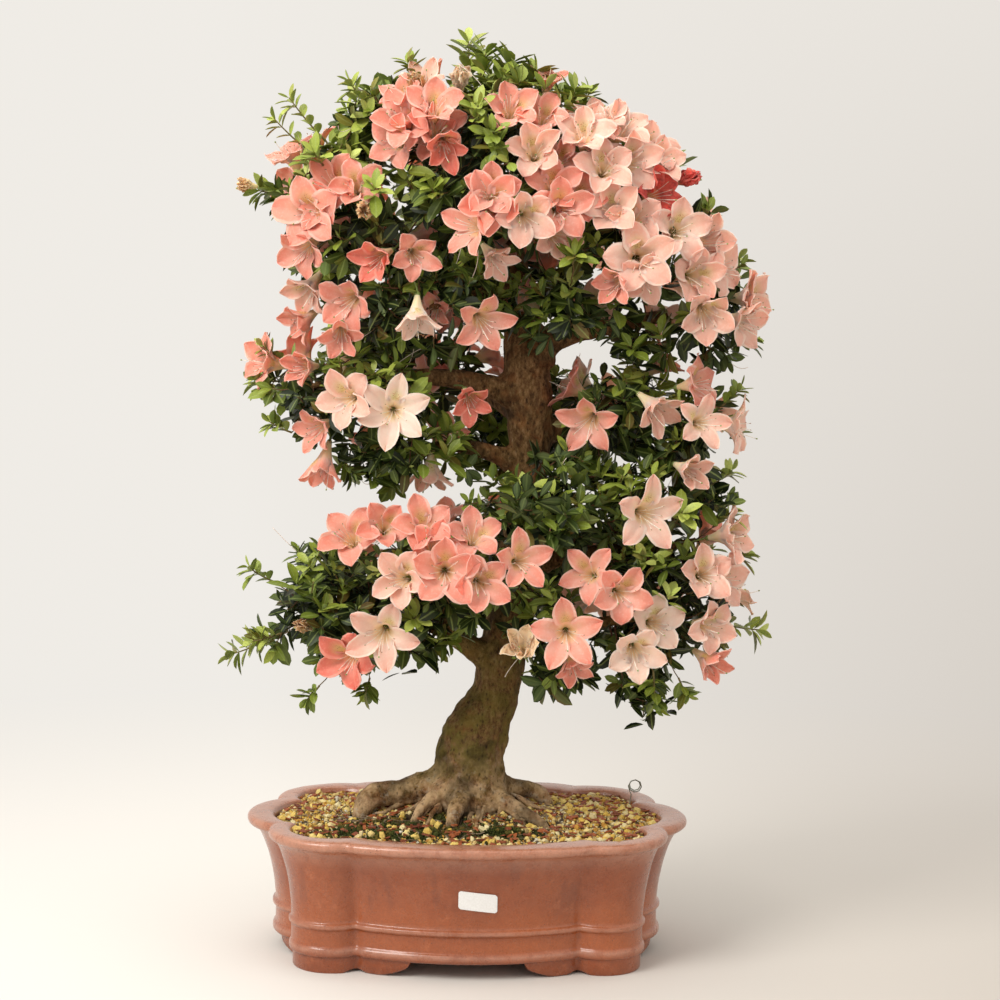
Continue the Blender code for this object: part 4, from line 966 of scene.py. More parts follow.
def loft(name, rings):
    """A closed skin over rings of equal length, with a face over each end."""
    form = bmesh.new()
    rows = [[form.verts.new(point) for point in ring] for ring in rings]
    for lower, upper in zip(rows, rows[1:]):
        for k in range(len(lower)):
            after = (k + 1) % len(lower)
            form.faces.new((lower[k], lower[after], upper[after], upper[k]))
    form.faces.new(rows[0])
    form.faces.new(rows[-1])
    bmesh.ops.recalc_face_normals(form, faces=form.faces[:])
    return linked(name, mesh_of(form, name))


def foot_drop(distance):
    """Height of a foot's lower edge at a distance from its end: a scroll, then flat."""
    if distance < SCROLL_END:
        return 0.0155 - distance * 1.65
    if distance < SCROLL_END + SCROLL_RUN:
        return 0.009 * (1 - (distance - SCROLL_END) / SCROLL_RUN) ** 1.5
    return 0.0


def foot_form(sx, sy):
    """A bracket foot that wraps one corner lobe and runs out in a scroll at both ends."""
    outer, inner = (pot_ring(inset) for inset in FOOT_INSET)
    middle = np.array(MIDDLE[:2])
    inside = [(p - middle) * (sx, sy) for p in outer]
    chosen = {k for k, p in enumerate(inside) if p[0] > FOOT_FRONT_END and p[1] > FOOT_SIDE_END}
    start = next(k for k in chosen if (k - 1) % len(outer) not in chosen)
    order = [(start + k) % len(outer) for k in range(len(chosen))]
    steps = [np.linalg.norm(outer[b] - outer[a]) for a, b in zip(order, order[1:])]
    travelled = np.concatenate([[0.0], np.cumsum(steps)])
    rings = []
    crease = FRONT_CREASE[0] - FRONT_CREASE_SHIFT[0] * FOOT_INSET[0]
    for k, run in zip(order, travelled):
        away = min(abs(abs(outer[k][0] - MIDDLE.x) - crease) / CREASE_RISE_WIDTH, 1.0)
        low = max(foot_drop(min(run, travelled[-1] - run)), CREASE_RISE * (1 - away * away))
        a, b = outer[k], inner[k]
        near = a + (b - a) * FOOT_BEVEL_SHARE
        far = b + (a - b) * FOOT_BEVEL_SHARE
        rings.append([(*a, low + FOOT_BEVEL), (*a, FOOT_TOP), (*b, FOOT_TOP), (*b, low + FOOT_BEVEL),
                      (*far, low), (*near, low)])
    return loft("foot", rings)


def combine(target, other, operation):
    """A solid joined to another, or cut by it, by a modifier."""
    step = target.modifiers.new(operation, "BOOLEAN")
    step.operation = operation
    step.solver = "EXACT"
    step.object = other


def baked(piece, name):
    """A new mesh of what a piece's modifiers give."""
    bpy.context.view_layer.update()
    view = bpy.context.evaluated_depsgraph_get()
    mesh = bpy.data.meshes.new_from_object(piece.evaluated_get(view))
    mesh.name = name
    return mesh


def make_pot():
    """The pot with its softer curves: a hand-thrown unevenness, finer bands and rounded feet."""
    rows = smooth_profile(OUTER_PROFILE) + smooth_profile(INNER_PROFILE)
    rings = [[(x, y, height) for x, y in pot_ring(inset)] for inset, height in rows]
    body = loft("pot_body", rings)
    helpers = [foot_form(sx, sy) for sx, sy in ((1, 1), (-1, 1), (-1, -1), (1, -1))]
    for foot in helpers:
        combine(body, foot, "UNION")
    for side in (-1, 1):
        form = bmesh.new()
        place = Matrix.Translation(MIDDLE + Vector((side * HOLE_X, 0, FLOOR_TOP)))
        bmesh.ops.create_cone(form, cap_ends=True, segments=40, radius1=HOLE_RADIUS,
                              radius2=HOLE_RADIUS, depth=0.04, matrix=place)
        hole = linked("hole", mesh_of(form, "hole"))
        combine(body, hole, "DIFFERENCE")
        helpers.append(hole)
    mesh = baked(body, "glazed_pot")
    for helper in [body, *helpers]:
        bpy.data.objects.remove(helper, do_unlink=True)
    for vertex in mesh.vertices:
        if vertex.co.z > FLOOR_TOP:
            place = vertex.co * 22
            wobble = noise.noise(place) * 0.0006 + noise.noise(place * 3.1) * 0.00022
            vertex.co += vertex.normal * wobble
    mesh.shade_smooth()
    mesh.set_sharp_from_angle(angle=math.radians(50))
    dress(mesh, glaze_material())
    pot = show("glazed_pot", mesh)
    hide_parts("pot")


# ---------------------------------------------------------------- wood

WOOD_VOXEL = 0.0021


def make_wood():
    """The trunk, roots and branches with grooved, knobbly bark that is coarser where they are thick."""
    rough = linked("rough_wood", NODES["trunk_and_branches"].data.copy())
    step = rough.modifiers.new("Fine skin", "REMESH")
    step.mode = "VOXEL"
    step.voxel_size = WOOD_VOXEL
    ease = rough.modifiers.new("Ease", "SMOOTH")
    ease.factor = 0.5
    ease.iterations = 8
    mesh = baked(rough, "bark_and_branches")
    bpy.data.objects.remove(rough, do_unlink=True)
    skin = BVHTree.FromPolygons([v.co for v in mesh.vertices], [p.vertices[:] for p in mesh.polygons])
    moved = []
    for vertex in mesh.vertices:
        place, normal = vertex.co, vertex.normal
        hit = skin.ray_cast(place - normal * 0.0006, -normal, 0.09)
        thick = hit[3] if hit[0] is not None else 0.05
        reach = min(thick, 0.045)
        grooves = noise.fractal(Vector((place.x * 85, place.y * 85, place.z * 24)), 0.9, 2.1, 4)
        knobs = noise.noise(place * 46) * 0.75 + noise.noise(place * 130) * 0.45
        lower = 1.0 + 2.4 * max(0.0, min(1.0, (0.28 - place.z) / 0.08))
        moved.append(place + normal * reach * (0.030 * grooves + 0.026 * knobs * lower))
    for vertex, place in zip(mesh.vertices, moved):
        vertex.co = place
    mesh.shade_smooth()
    dress(mesh, bark_material())
    wood = show("bark_and_branches", mesh)
    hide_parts("trunk_and_branches")
    return skin


# ---------------------------------------------------------------- soil

def ground_below(skin, x, y):
    """The highest point of a surface at a place, or None off its edge."""
    return skin.ray_cast(Vector((x, y, 0.3)), Vector((0, 0, -1)))[0]


def skin_of(*names):
    """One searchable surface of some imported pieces."""
    points, faces = [], []
    for name in names:
        mesh = NODES[name].data
        faces += [tuple(k + len(points) for k in face.vertices) for face in mesh.polygons]
        points += [v.co for v in mesh.vertices]
    return BVHTree.FromPolygons(points, faces)


def lump():
    """A rough ball of twelve points."""
    golden = (1 + math.sqrt(5)) / 2
    points = []
    for a in (-1, 1):
        for b in (-golden, golden):
            points += [(0, a, b), (a, b, 0), (b, 0, a)]
    points = unit(np.array(points, float))
    hull = bmesh.new()
    for p in points:
        hull.verts.new(p)
    bmesh.ops.convex_hull(hull, input=hull.verts[:])
    hull.verts.index_update()
    bmesh.ops.recalc_face_normals(hull, faces=hull.faces[:])
    faces = [tuple(v.index for v in face.verts) for face in hull.faces]
    points = np.array([v.co for v in hull.verts])
    hull.free()
    return points, faces


def turns(rng, count):
    """Random rotation matrices."""
    q = unit(rng.normal(size=(count, 4)))
    w, x, y, z = q.T
    return np.stack([
        np.stack([1 - 2 * (y * y + z * z), 2 * (x * y - z * w), 2 * (x * z + y * w)], -1),
        np.stack([2 * (x * y + z * w), 1 - 2 * (x * x + z * z), 2 * (y * z - x * w)], -1),
        np.stack([2 * (x * z - y * w), 2 * (y * z + x * w), 1 - 2 * (x * x + y * y)], -1)], 1)


def scatter_on_soil(rng, count, skin, wood, spare=0.0):
    """Places on the soil that are clear of the roots."""
    low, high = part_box("soil")
    places = []
    while len(places) < count:
        x, y = rng.uniform(low.x, high.x), rng.uniform(low.y, high.y)
        ground = ground_below(skin, x, y)
        if ground is None or ground.z < high.z - 0.026:
            continue
        near = wood.find_nearest(ground + Vector((0, 0, 0.002)))
        if near[3] is not None and near[3] < spare:
            continue
        places.append(ground)
    return np.array(places)


def algae_share(place):
    """How green the ground is: most in front of the trunk and to its left."""
    x, y = place[0] - MIDDLE.x, place[1] - MIDDLE.y
    near = 1.15 * math.exp(-((x + 0.070) / 0.090) ** 2 - ((y + 0.072) / 0.044) ** 2)
    near += 0.60 * math.exp(-((x - 0.040) / 0.050) ** 2 - ((y + 0.090) / 0.032) ** 2)
    return near + 0.45 * noise.noise(Vector((x * 52, y * 52, 3.0)))


# Thin roots on the soil: the way each runs from the trunk, where it starts and where it dives
THIN_ROOTS = (
    (188, 0.044, 0.118), (203, 0.040, 0.094), (216, 0.038, 0.088), (232, 0.036, 0.104),
    (246, 0.034, 0.076), (259, 0.036, 0.092), (274, 0.034, 0.074), (287, 0.036, 0.096),
    (301, 0.038, 0.084), (316, 0.036, 0.108), (333, 0.038, 0.092), (350, 0.040, 0.104),
    (12, 0.038, 0.086), (48, 0.036, 0.082), (80, 0.036, 0.090), (112, 0.036, 0.078),
    (140, 0.038, 0.092), (164, 0.040, 0.100),
)


def thin_roots(rng, skin):
    """Knotty thin roots that leave the trunk's foot, lie on the soil and dive into it."""
    gathered = Gathered()
    for heading, start, end in THIN_ROOTS:
        turn, path, radii = math.radians(heading), [], []
        thick = rng.uniform(0.0026, 0.0044)
        for t in np.linspace(0, 1, 11):
            turn += rng.normal(0, 0.050)
            reach = start + (end - start) * t
            x, y = MIDDLE.x + reach * math.cos(turn), MIDDLE.y + reach * math.sin(turn)
            ground = ground_below(skin, x, y)
            lift = 0.016 * (1 - t) ** 2.4 - 0.006 * max(0.0, t - 0.8) / 0.2
            path.append((x, y, ground.z + 0.0012 + lift))
            radii.append(thick * (1 - 0.68 * t) * rng.uniform(0.78, 1.22))
        gathered.add(*tube(path, radii, 8), None, rng.uniform(0, 1))
    gathered.piece("thin_roots", [bark_material()], "bark")


MOSS_NODES = ("moss_left", "moss_right")
GRANULES = 9000
GRANULE_RADII = (0.0012, 0.0019, 0.0028, 0.0044)
GRANULE_SHARES = (0.46, 0.36, 0.155, 0.025)
LARGE_GRANULE = 0.0035
CHIPS = 560
CHIP_LIFT = 0.0030
ROOTLET_STEP = 0.0042
TUFT_TRIES = 5200
TUFT_LIMIT = 2600
CUSHION_TRIES = 420


def scatter_granules(rng, skin, wood):
    """Rough granules of four sizes, green where algae grow and pale where they are large."""
    ball, faces = lump()
    places = scatter_on_soil(rng, GRANULES, skin, wood)
    count = len(places)
    size = rng.choice(GRANULE_RADII, count, p=GRANULE_SHARES)
    size *= rng.uniform(0.8, 1.25, count)
    shape = rng.uniform(0.62, 1.15, (count, 1, 3)) * size[:, None, None]
    jitter = rng.uniform(0.78, 1.16, (count, 12, 1))
    forms = np.einsum("nij,nkj->nki", turns(rng, count), ball[None] * jitter * shape)
    forms += places[:, None] + UP * (size * rng.uniform(-0.2, 0.75, count))[:, None, None]
    green = np.array([algae_share(p) for p in places])
    tone = rng.uniform(0.0, 1.0, count)
    tone = np.where(green + rng.normal(0, 0.16, count) > 0.62, rng.uniform(0.0, 0.14, count),
                    0.18 + 0.82 * tone)
    tone = np.where(size > LARGE_GRANULE, rng.uniform(0.42, 0.74, count), tone)
    granules = Gathered()
    granules.add_many(forms, faces, None, tone)
    granules.piece("soil_granules", [granule_material()], "granules", 30.0)


def scatter_chips(rng, skin, wood):
    """Flat slivers of red-brown bark, each tipped a little out of level."""
    chips = Gathered()
    corners = np.array([(x, y, z) for z in (-1, 1) for y in (-1, 1) for x in (-1, 1)], float)
    quads = ((0, 2, 3, 1), (4, 5, 7, 6), (0, 1, 5, 4), (2, 6, 7, 3), (0, 4, 6, 2), (1, 3, 7, 5))
    for place in scatter_on_soil(rng, CHIPS, skin, wood, 0.002):
        half = np.array((rng.uniform(0.0030, 0.0068), rng.uniform(0.0015, 0.0032),
                         rng.uniform(0.0006, 0.0011)))
        box = corners * (half * rng.uniform(0.7, 1.1, (8, 1)))
        lean = turns(rng, 1)[0]
        lie = np.array(Matrix.Rotation(rng.uniform(0, 6.28), 3, "Z"))
        box = box @ (lie @ (np.eye(3) * 0.78 + lean * 0.22)).T
        chips.add(box + place + UP * CHIP_LIFT, quads, None, rng.uniform(0, 1))
    chip = plain_tinted("bark_chip", ((0.150, 0.036, 0.014), (0.300, 0.070, 0.022),
                                      (0.420, 0.120, 0.036), (0.200, 0.052, 0.020)), 0.6, 420.0, 0.0008)
    chips.piece("bark_chips", [chip], "bark", 20.0)


def lay_rootlets(rng, skin, wood):
    """Hair roots that wander over the soil, with more of them close to the trunk's foot."""
    rootlets = Gathered()
    starts = scatter_on_soil(rng, 900, skin, wood, 0.003)
    close = [p for p in starts if wood.find_nearest(Vector(p))[3] < 0.026][:70]
    for place in [*starts[:60], *close]:
        heading = rng.uniform(0, 2 * math.pi)
        path, here = [], place.copy()
        for _ in range(rng.integers(6, 13)):
            ground = ground_below(skin, here[0], here[1])
            if ground is None:
                break
            path.append((*ground[:2], ground[2] + 0.0024 + 0.0008 * rng.uniform(0, 1)))
            heading += rng.normal(0, 0.45)
            here = here + np.array((math.cos(heading), math.sin(heading), 0)) * ROOTLET_STEP
        if len(path) > 4:
            radius = rng.uniform(0.0003, 0.0007)
            rootlets.add(*tube(path, np.linspace(radius, radius * 0.5, len(path)), 5), None,
                         rng.uniform(0, 1))
    root = plain_tinted("rootlet", ((0.150, 0.100, 0.060), (0.330, 0.250, 0.170)), 0.85, 300.0, 0.0005)
    rootlets.piece("surface_rootlets", [root], "bark")


def grow_moss(rng, skin, wood):
    """Short moss tufts where the ground is green and on both cushions."""
    moss = moss_material()
    tufts = Gathered()
    spots = [p for p in scatter_on_soil(rng, TUFT_TRIES, skin, wood)
             if algae_share(p) + rng.normal(0, 0.12) > 0.55][:TUFT_LIMIT]
    for cushion in MOSS_NODES:
        dress(NODES[cushion].data, moss)
        low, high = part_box(cushion)
        top = skin_of(cushion)
        for _ in range(CUSHION_TRIES):
            x, y = rng.uniform(low.x, high.x), rng.uniform(low.y, high.y)
            hit = ground_below(top, x, y)
            if hit is not None:
                spots.append(np.array(hit))
    for spot in spots:
        lean = unit(np.array((rng.normal(0, 0.45), rng.normal(0, 0.45), 1.0)))
        tall = rng.uniform(0.0016, 0.0036)
        side = across_of(lean[None])[0]
        other = np.cross(lean, side)
        wide = rng.uniform(0.0005, 0.0009)
        foot = spot + UP * rng.uniform(0.0, 0.0022)
        points = [foot + side * wide, foot - side * wide * 0.5 + other * wide * 0.87,
                  foot - side * wide * 0.5 - other * wide * 0.87, foot + lean * tall]
        tufts.add(points, ((0, 2, 1), (0, 1, 3), (1, 2, 3), (2, 0, 3)), None, rng.uniform(0, 1))
    tufts.piece("moss_tufts", [moss], "moss", 0)


def make_ground(wood):
    """Granules, bark chips, roots and moss on the soil."""
    rng = np.random.default_rng(41)
    skin = skin_of("soil", *MOSS_NODES)
    dress(NODES["soil"].data, soil_material())
    scatter_granules(rng, skin, wood)
    scatter_chips(rng, skin, wood)
    lay_rootlets(rng, skin, wood)
    thin_roots(rng, skin)
    grow_moss(rng, skin, wood)


def granule_material():
    """Fired clay granules in cream, ochre and yellow with grey and brown ones, green where damp."""
    g = Look("granules")
    chance = g.chance()
    grain = g.noise(520.0, 4.0, 0.65)
    colour = g.ramp(chance, (0.00, (0.022, 0.028, 0.007)), (0.15, (0.070, 0.078, 0.016)),
                    (0.19, (0.290, 0.130, 0.032)), (0.28, (0.520, 0.260, 0.050)),
                    (0.42, (0.680, 0.450, 0.090)), (0.58, (0.780, 0.590, 0.180)),
                    (0.72, (0.800, 0.700, 0.400)), (0.84, (0.600, 0.380, 0.100)),
                    (0.94, (0.400, 0.300, 0.140)), (1.00, (0.700, 0.660, 0.540)))
    colour = g.shade(colour, g.ramp(grain, (0.3, 0.62), (0.7, 1.12)), 0.7)
    stain = g.patches(36.0, 4.0, 0.55, 0.52, 0.68)
    colour = g.lay(colour, (0.330, 0.170, 0.030), 0.45, stain)
    g.set(Base_Color=colour, Roughness=0.9, Specular_IOR_Level=0.2)
    g.set(Normal=g.bump(grain, 0.6, 0.0006))
    return g.made


def moss_material():
    """Short dark moss with lighter tips here and there."""
    g = Look("moss")
    chance = g.chance()
    clump = g.noise(120.0, 4.0)
    colour = g.ramp(g.plus(g.times(chance, 0.4), clump, 0.6),
                    (0.25, (0.020, 0.026, 0.006)), (0.50, (0.052, 0.066, 0.014)),
                    (0.75, (0.130, 0.150, 0.035)))
    g.set(Base_Color=colour, Roughness=1.0, Specular_IOR_Level=0.15)
    g.set(Normal=g.bump(g.noise(700.0, 4.0), 0.8, 0.0012))
    return g.made


# ---------------------------------------------------------------- flowers

def eased(value, end):
    """Nothing at nothing, growing softly to one at the end."""
    value = np.clip(np.asarray(value, float) / end, 0, 1)
    return value * value * (3 - 2 * value)


def thicken(points, quads, thickness):
    """A closed shell over an open sheet, with a wall along its rims."""
    a, b, c, d = (points[quads[:, k]] for k in range(4))
    normals = np.cross(c - a, d - b)
    spread = np.zeros_like(points)
    for k in range(4):
        np.add.at(spread, quads[:, k], normals)
    offset = unit(spread) * thickness / 2
    count = len(points)
    edges = set()
    for quad in quads.tolist():
        edges.update(zip(quad, quad[1:] + quad[:1]))
    rims = [(b_, a_, a_ + count, b_ + count) for a_, b_ in sorted(edges) if (b_, a_) not in edges]
    faces = quads.tolist() + (quads[:, ::-1] + count).tolist() + rims
    return np.concatenate([points + offset, points - offset]), faces


def lean_run(length, lean_from, lean_to, radius, height, count):
    """Radius, height and lean at count + 1 places along a run that leans more and more."""
    lean = np.radians(np.linspace(lean_from, lean_to, RUN_STEPS * count + 1))
    step = length / (RUN_STEPS * count)
    between = (lean[1:] + lean[:-1]) / 2
    radii = radius + np.concatenate([[0], np.cumsum(np.sin(between)) * step])
    heights = height + np.concatenate([[0], np.cumsum(np.cos(between)) * step])
    return radii[::RUN_STEPS], heights[::RUN_STEPS], lean[::RUN_STEPS]


def funnel_tube(petals, lean_foot):
    """The fluted tube: its points, facts and faces, and the radius and height of its mouth."""
    radii, heights, _ = lean_run(TUBE_LENGTH, TUBE_LEAN, lean_foot, TUBE_FOOT, 0.0, TUBE_ROWS)
    points, facts, quads = [], [], []
    ring = petals * PETAL_COLUMNS
    turn = (np.arange(ring) / PETAL_COLUMNS * 2 - 1) * (math.pi / petals)
    across = np.abs((np.arange(ring) % PETAL_COLUMNS) / PETAL_COLUMNS * 2 - 1)
    for row in range(TUBE_ROWS + 1):
        radius = radii[row] * (1 + 0.05 * np.cos(turn * petals) * row / TUBE_ROWS)
        points += list(np.stack([radius * np.cos(turn), radius * np.sin(turn),
                                 np.full(ring, heights[row])], 1))
        facts += [(0.3 * row / TUBE_ROWS, a, 0.0) for a in across]
        if row:
            for k in range(ring):
                low, after = (row - 1) * ring, (k + 1) % ring
                quads.append((low + k, low + after, low + ring + after, low + ring + k))
    return points, facts, quads, radii[-1], heights[-1]


def petal_sheet(rng, form, petal, lean_tip, mouth_radius, mouth_height):
    """One petal beyond the tube's mouth: its points, row by row, and their facts."""
    petals, lean_foot, _, ruffle = FLOWER_FORMS[form]
    share = math.pi / petals
    rows = (np.arange(PETAL_ROWS + 1) / PETAL_ROWS)[:, None]
    s = np.linspace(-1, 1, PETAL_COLUMNS + 1)[None]
    widths = np.array(PETAL_WIDTHS[form]) * PETAL_HALF_WIDTH * PETAL_BREADTH.get(form, 1.0)
    widths[0] = mouth_radius * share
    width = np.interp(rows, PETAL_SHARES, widths)
    tip = lean_tip + rng.normal(0, 12.0) - (6.0 if petal == 0 else 0.0)
    length = PETAL_LENGTH * rng.uniform(0.94, 1.12)
    run = lean_run(length, lean_foot, tip, mouth_radius, mouth_height, PETAL_ROWS)
    radii, heights, leans = (values[:, None] for values in run)
    curl, twist = rng.normal(0.10, 0.14), rng.normal(0, 0.10)
    phases, waves = rng.uniform(0, 6.28, 2), rng.uniform(1.2, 2.2)
    grow = eased(rows, 0.35)
    wave = np.sin(2 * math.pi * waves * rows + np.where(s > 0, phases[0], phases[1]))
    lift = (-0.0013 * np.exp(-(s / 0.16) ** 2) + 0.0010 * s
            + curl * s ** 2 * width + 0.0011 * ruffle * s ** 2 * wave) * grow
    if form == "withered":
        lift = lift + 0.0030 * np.sin(7 * s + phases[0] + 6 * rows) * grow
    radius = radii - np.cos(leans) * lift
    height = heights + np.sin(leans) * lift
    turn = (2 * petal) * share + twist * rows * 0.6 + s * width / np.maximum(radii, 0.004)
    sheet = np.stack([radius * np.cos(turn), radius * np.sin(turn), height], -1)
    blotch = np.exp(-((rows - 0.16) / 0.30) ** 2) * np.clip(1 - (np.abs(s) / 0.72) ** 2, 0, 1)
    if petal in (1, petals - 1):
        side = 1 if petal == petals - 1 else -1
        blotch = blotch * np.clip(0.10 + 0.6 * side * s, 0, 1)
    elif petal:
        blotch = blotch * 0.0
    along = 0.3 + 0.7 * rows + 0 * s
    facts = np.stack([along, np.abs(s) + 0 * along, blotch], -1)
    return sheet[1:].reshape(-1, 3), facts[1:].reshape(-1, 3)


def corolla(rng, form, size):
    """One flower's funnel and petals about +Z, its first petal towards +X: points, faces, facts."""
    petals, lean_foot, lean_tip, _ = FLOWER_FORMS[form]
    lean_tip += rng.uniform(-20.0, 12.0) if form in ("open", "bell") else 0.0
    points, facts, quads, mouth_radius, mouth_height = funnel_tube(petals, lean_foot)
    ring, across = petals * PETAL_COLUMNS, PETAL_COLUMNS + 1
    for petal in range(petals):
        first = len(points)
        sheet, marks = petal_sheet(rng, form, petal, lean_tip, mouth_radius, mouth_height)
        points += list(sheet)
        facts += list(marks)
        below = [TUBE_ROWS * ring + (petal * PETAL_COLUMNS + k) % ring for k in range(across)]
        for row in range(PETAL_ROWS):
            above = [first + row * across + k for k in range(across)]
            quads += zip(below, below[1:], above[1:], above)
            below = above
    points, faces = thicken(np.array(points) * size, np.array(quads), PETAL_THICKNESS)
    return points, faces, np.concatenate([facts, facts])


def mark(turn, radius, height):
    """A point round a flower's own axis."""
    return np.array((radius * math.cos(turn), radius * math.sin(turn), height))


def add_middle(gathered, rng, form, size):
    """Filaments with anthers, and the long style with its stigma, all bent to the lower side."""
    below = math.pi
    stamens = 7 if form != "withered" else 3
    reach = {"bell": 0.75, "withered": 0.8}.get(form, 1.0)
    for k in range(stamens):
        turn = below + (k / (stamens - 1) - 0.5) * 4.2 + rng.normal(0, 0.15)
        far = mark(turn, reach * rng.uniform(0.0075, 0.0145), rng.uniform(0.030, 0.0385)) * size
        path = curve_through(mark(turn, 0.0012, 0.002), mark(turn, 0.0030, 0.024) * size, far, 6)
        gathered.add(*tube(path, np.linspace(0.00030, 0.00022, 6), 4), None, 0.7, 1)
        lean = unit(far - path[-2] + rng.normal(0, 0.002, 3))
        anther = [far - lean * 0.0009, far, far + lean * 0.0009]
        gathered.add(*tube(anther, (0.0003, 0.0005, 0.0003), 5), None, rng.uniform(0, 1), 2)
    tip = mark(below + rng.normal(0, 0.3), 0.0110 * reach, 0.0465) * size
    style = curve_through((0, 0, 0.003), mark(below, 0.007, 0.028) * size, tip, 8)
    gathered.add(*tube(style, np.linspace(0.00045, 0.00032, 8), 5), None, 0.9, 1)
    gathered.add(*tube([tip, tip + unit(tip - style[-2]) * 0.0011], (0.0007, 0.0008), 6), None, 0.9, 3)


def facing_axes(rng, facing):
    """The three axes of a flower that faces a way, with its first petal roughly on top."""
    ahead = unit(np.array(facing))
    upward = UP - ahead * ahead.dot(UP)
    if np.linalg.norm(upward) < 0.25:
        upward = np.array((0.3, -1.0, 0.0)) - ahead * ahead.dot((0.3, -1.0, 0.0))
    upward = unit(upward)
    roll = rng.normal(0, 0.50)
    first = upward * math.cos(roll) + np.cross(ahead, upward) * math.sin(roll)
    return np.stack([first, np.cross(ahead, first), ahead], 1)


def make_flower(name, mouth, facing, size, tone, form, seed, materials):
    """A whole flower: petals, filaments with anthers, the long style, calyx and stalk."""
    rng = np.random.default_rng(seed)
    size = size * rng.uniform(0.96, 1.04) * (0.9 if form == "withered" else 1.0)
    gathered = Gathered()
    points, faces, facts = corolla(rng, form, size)
    gathered.add(points, faces, facts, rng.uniform(0, 1), 0)
    add_middle(gathered, rng, form, size)
    calyx = [(0, 0, -0.0030), (0, 0, -0.0010), (0, 0, 0.0016)]
    gathered.add(*tube(calyx, (0.0012, 0.0026, 0.0030), 10), None, 0.4, 3)
    bend = rng.normal(0, 0.004, 3) * (1, 1, 0)
    stalk = curve_through((0, 0, -0.002), (0, 0, -0.010), np.array((0, 0, -STALK_LENGTH)) + bend, 5)
    gathered.add(*tube(stalk, 0.0009, 6), None, 0.3, 3)
    axes = facing_axes(rng, facing)
    foot = np.array(mouth) - axes[:, 2] * FLOWER_HEIGHT * size
    gathered.points = [p @ axes.T + foot for p in gathered.points]
    slots = [materials["petals_" + tone], materials["filament"], materials["anther"],
             materials["green_stalk"]]
    return gathered.piece(name, slots, TONE_SLOTS[tone], 70.0)


def cad_mouth(node, facing, size):
    """The middle of a packed flower's mouth, from where its funnel lies."""
    points = points_of(NODES[node].data)
    ahead = unit(np.array(facing))
    along = points @ ahead
    centre = points.mean(0)
    return centre + ahead * (along.max() - centre.dot(ahead) - 0.001 * size)


BACK_FLOWERS = 64
BACK_TRIES = 20000
FLOWER_SPACING = 0.047


def back_flowers(rng, taken, pads):
    """Flowers for the sides and the back, on the foliage's outer face, clear of the others."""
    made = []
    names = sorted(pads)
    for _ in range(BACK_TRIES):
        if len(made) == BACK_FLOWERS:
            break
        name = names[rng.integers(len(names))]
        place, normal = pads[name].sample(rng)
        x, y, z = place - np.array(MIDDLE)
        if y < -0.045 + 0.12 * max(0.0, 0.18 - abs(x)) or normal[2] < -0.25:
            continue
        if z < 0.60 and rng.uniform() < 0.35:
            continue
        if pads[name].crowded(place + normal * 0.012, pads):
            continue
        facing = unit(normal + np.array((0.0, 0.0, 0.15)) + rng.normal(0, 0.18, 3))
        mouth = place + facing * 0.010
        if any(in_clearing(mouth + (step, 0.0, 0.0)) for step in (-0.022, 0.0, 0.022)):
            continue
        if min(np.linalg.norm(mouth - other) for other in taken) < FLOWER_SPACING:
            continue
        taken.append(mouth)
        # Flowers to the right mostly get the pale tone, partly as painted light for the brighter light
        # there.
        tone = "pale" if x > 0.06 and rng.uniform() < 0.75 else "coral"
        if rng.uniform() < 0.10:
            tone = "red_coral"
        form = ("open", "open", "star", "bell")[rng.integers(4)]
        made.append((mouth, facing, rng.uniform(0.88, 1.0), tone, form))
    return made


# ---------------------------------------------------------------- foliage

class Pad:
    """The outer face of one foliage mass."""

    def __init__(self, mesh):
        mesh.calc_loop_triangles()
        points = points_of(mesh)
        corners = np.array([t.vertices[:] for t in mesh.loop_triangles])
        self.triangles = points[corners]
        a, b, c = (self.triangles[:, k] for k in range(3))
        normals = np.cross(b - a, c - a)
        self.areas = np.linalg.norm(normals, axis=1) / 2
        self.normals = unit(normals)
        self.shares = self.areas / self.areas.sum()
        self.skin = BVHTree.FromPolygons([tuple(p) for p in points], corners.tolist())
        self.centre = points.mean(0)

    def sample(self, rng):
        """A random place on the face, even over its area, and the way it faces."""
        k = rng.choice(len(self.shares), p=self.shares)
        u, v = rng.uniform(size=2)
        if u + v > 1:
            u, v = 1 - u, 1 - v
        a, b, c = self.triangles[k]
        return a + (b - a) * u + (c - a) * v, self.normals[k]

    def crowded(self, place, pads):
        """True where a place lies in or against another mass."""
        where = Vector(place)
        for other in pads.values():
            if other is self:
                continue
            hit, normal, _, distance = other.skin.find_nearest(where)
            if hit is not None and (distance < 0.006 or (where - hit).dot(normal) < 0):
                return True
        return False


def round_mass(centre, half_sizes):
    """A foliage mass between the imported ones."""
    form = bmesh.new()
    place = Matrix.Translation(MIDDLE + Vector(centre)) @ Matrix.Diagonal((*half_sizes, 1.0))
    bmesh.ops.create_icosphere(form, subdivisions=3, radius=1.0, matrix=place)
    mesh = mesh_of(form, "round_mass")
    pad = Pad(mesh)
    bpy.data.meshes.remove(mesh)
    return pad


def in_clearing(place):
    """True where the foliage is left open to the air."""
    x, _, z = place - np.array(MIDDLE)
    return any(((x - cx) / wide) ** 2 + ((z - cz) / tall) ** 2 < 1 for cx, cz, wide, tall in CLEARINGS)


LEAF_SPACING = 0.0144
WHORL_DENSITY = 5200
TRIES_FOR_EACH = 1.8
INNER_SHARE = 0.46
FLOWER_RADIUS = 0.026


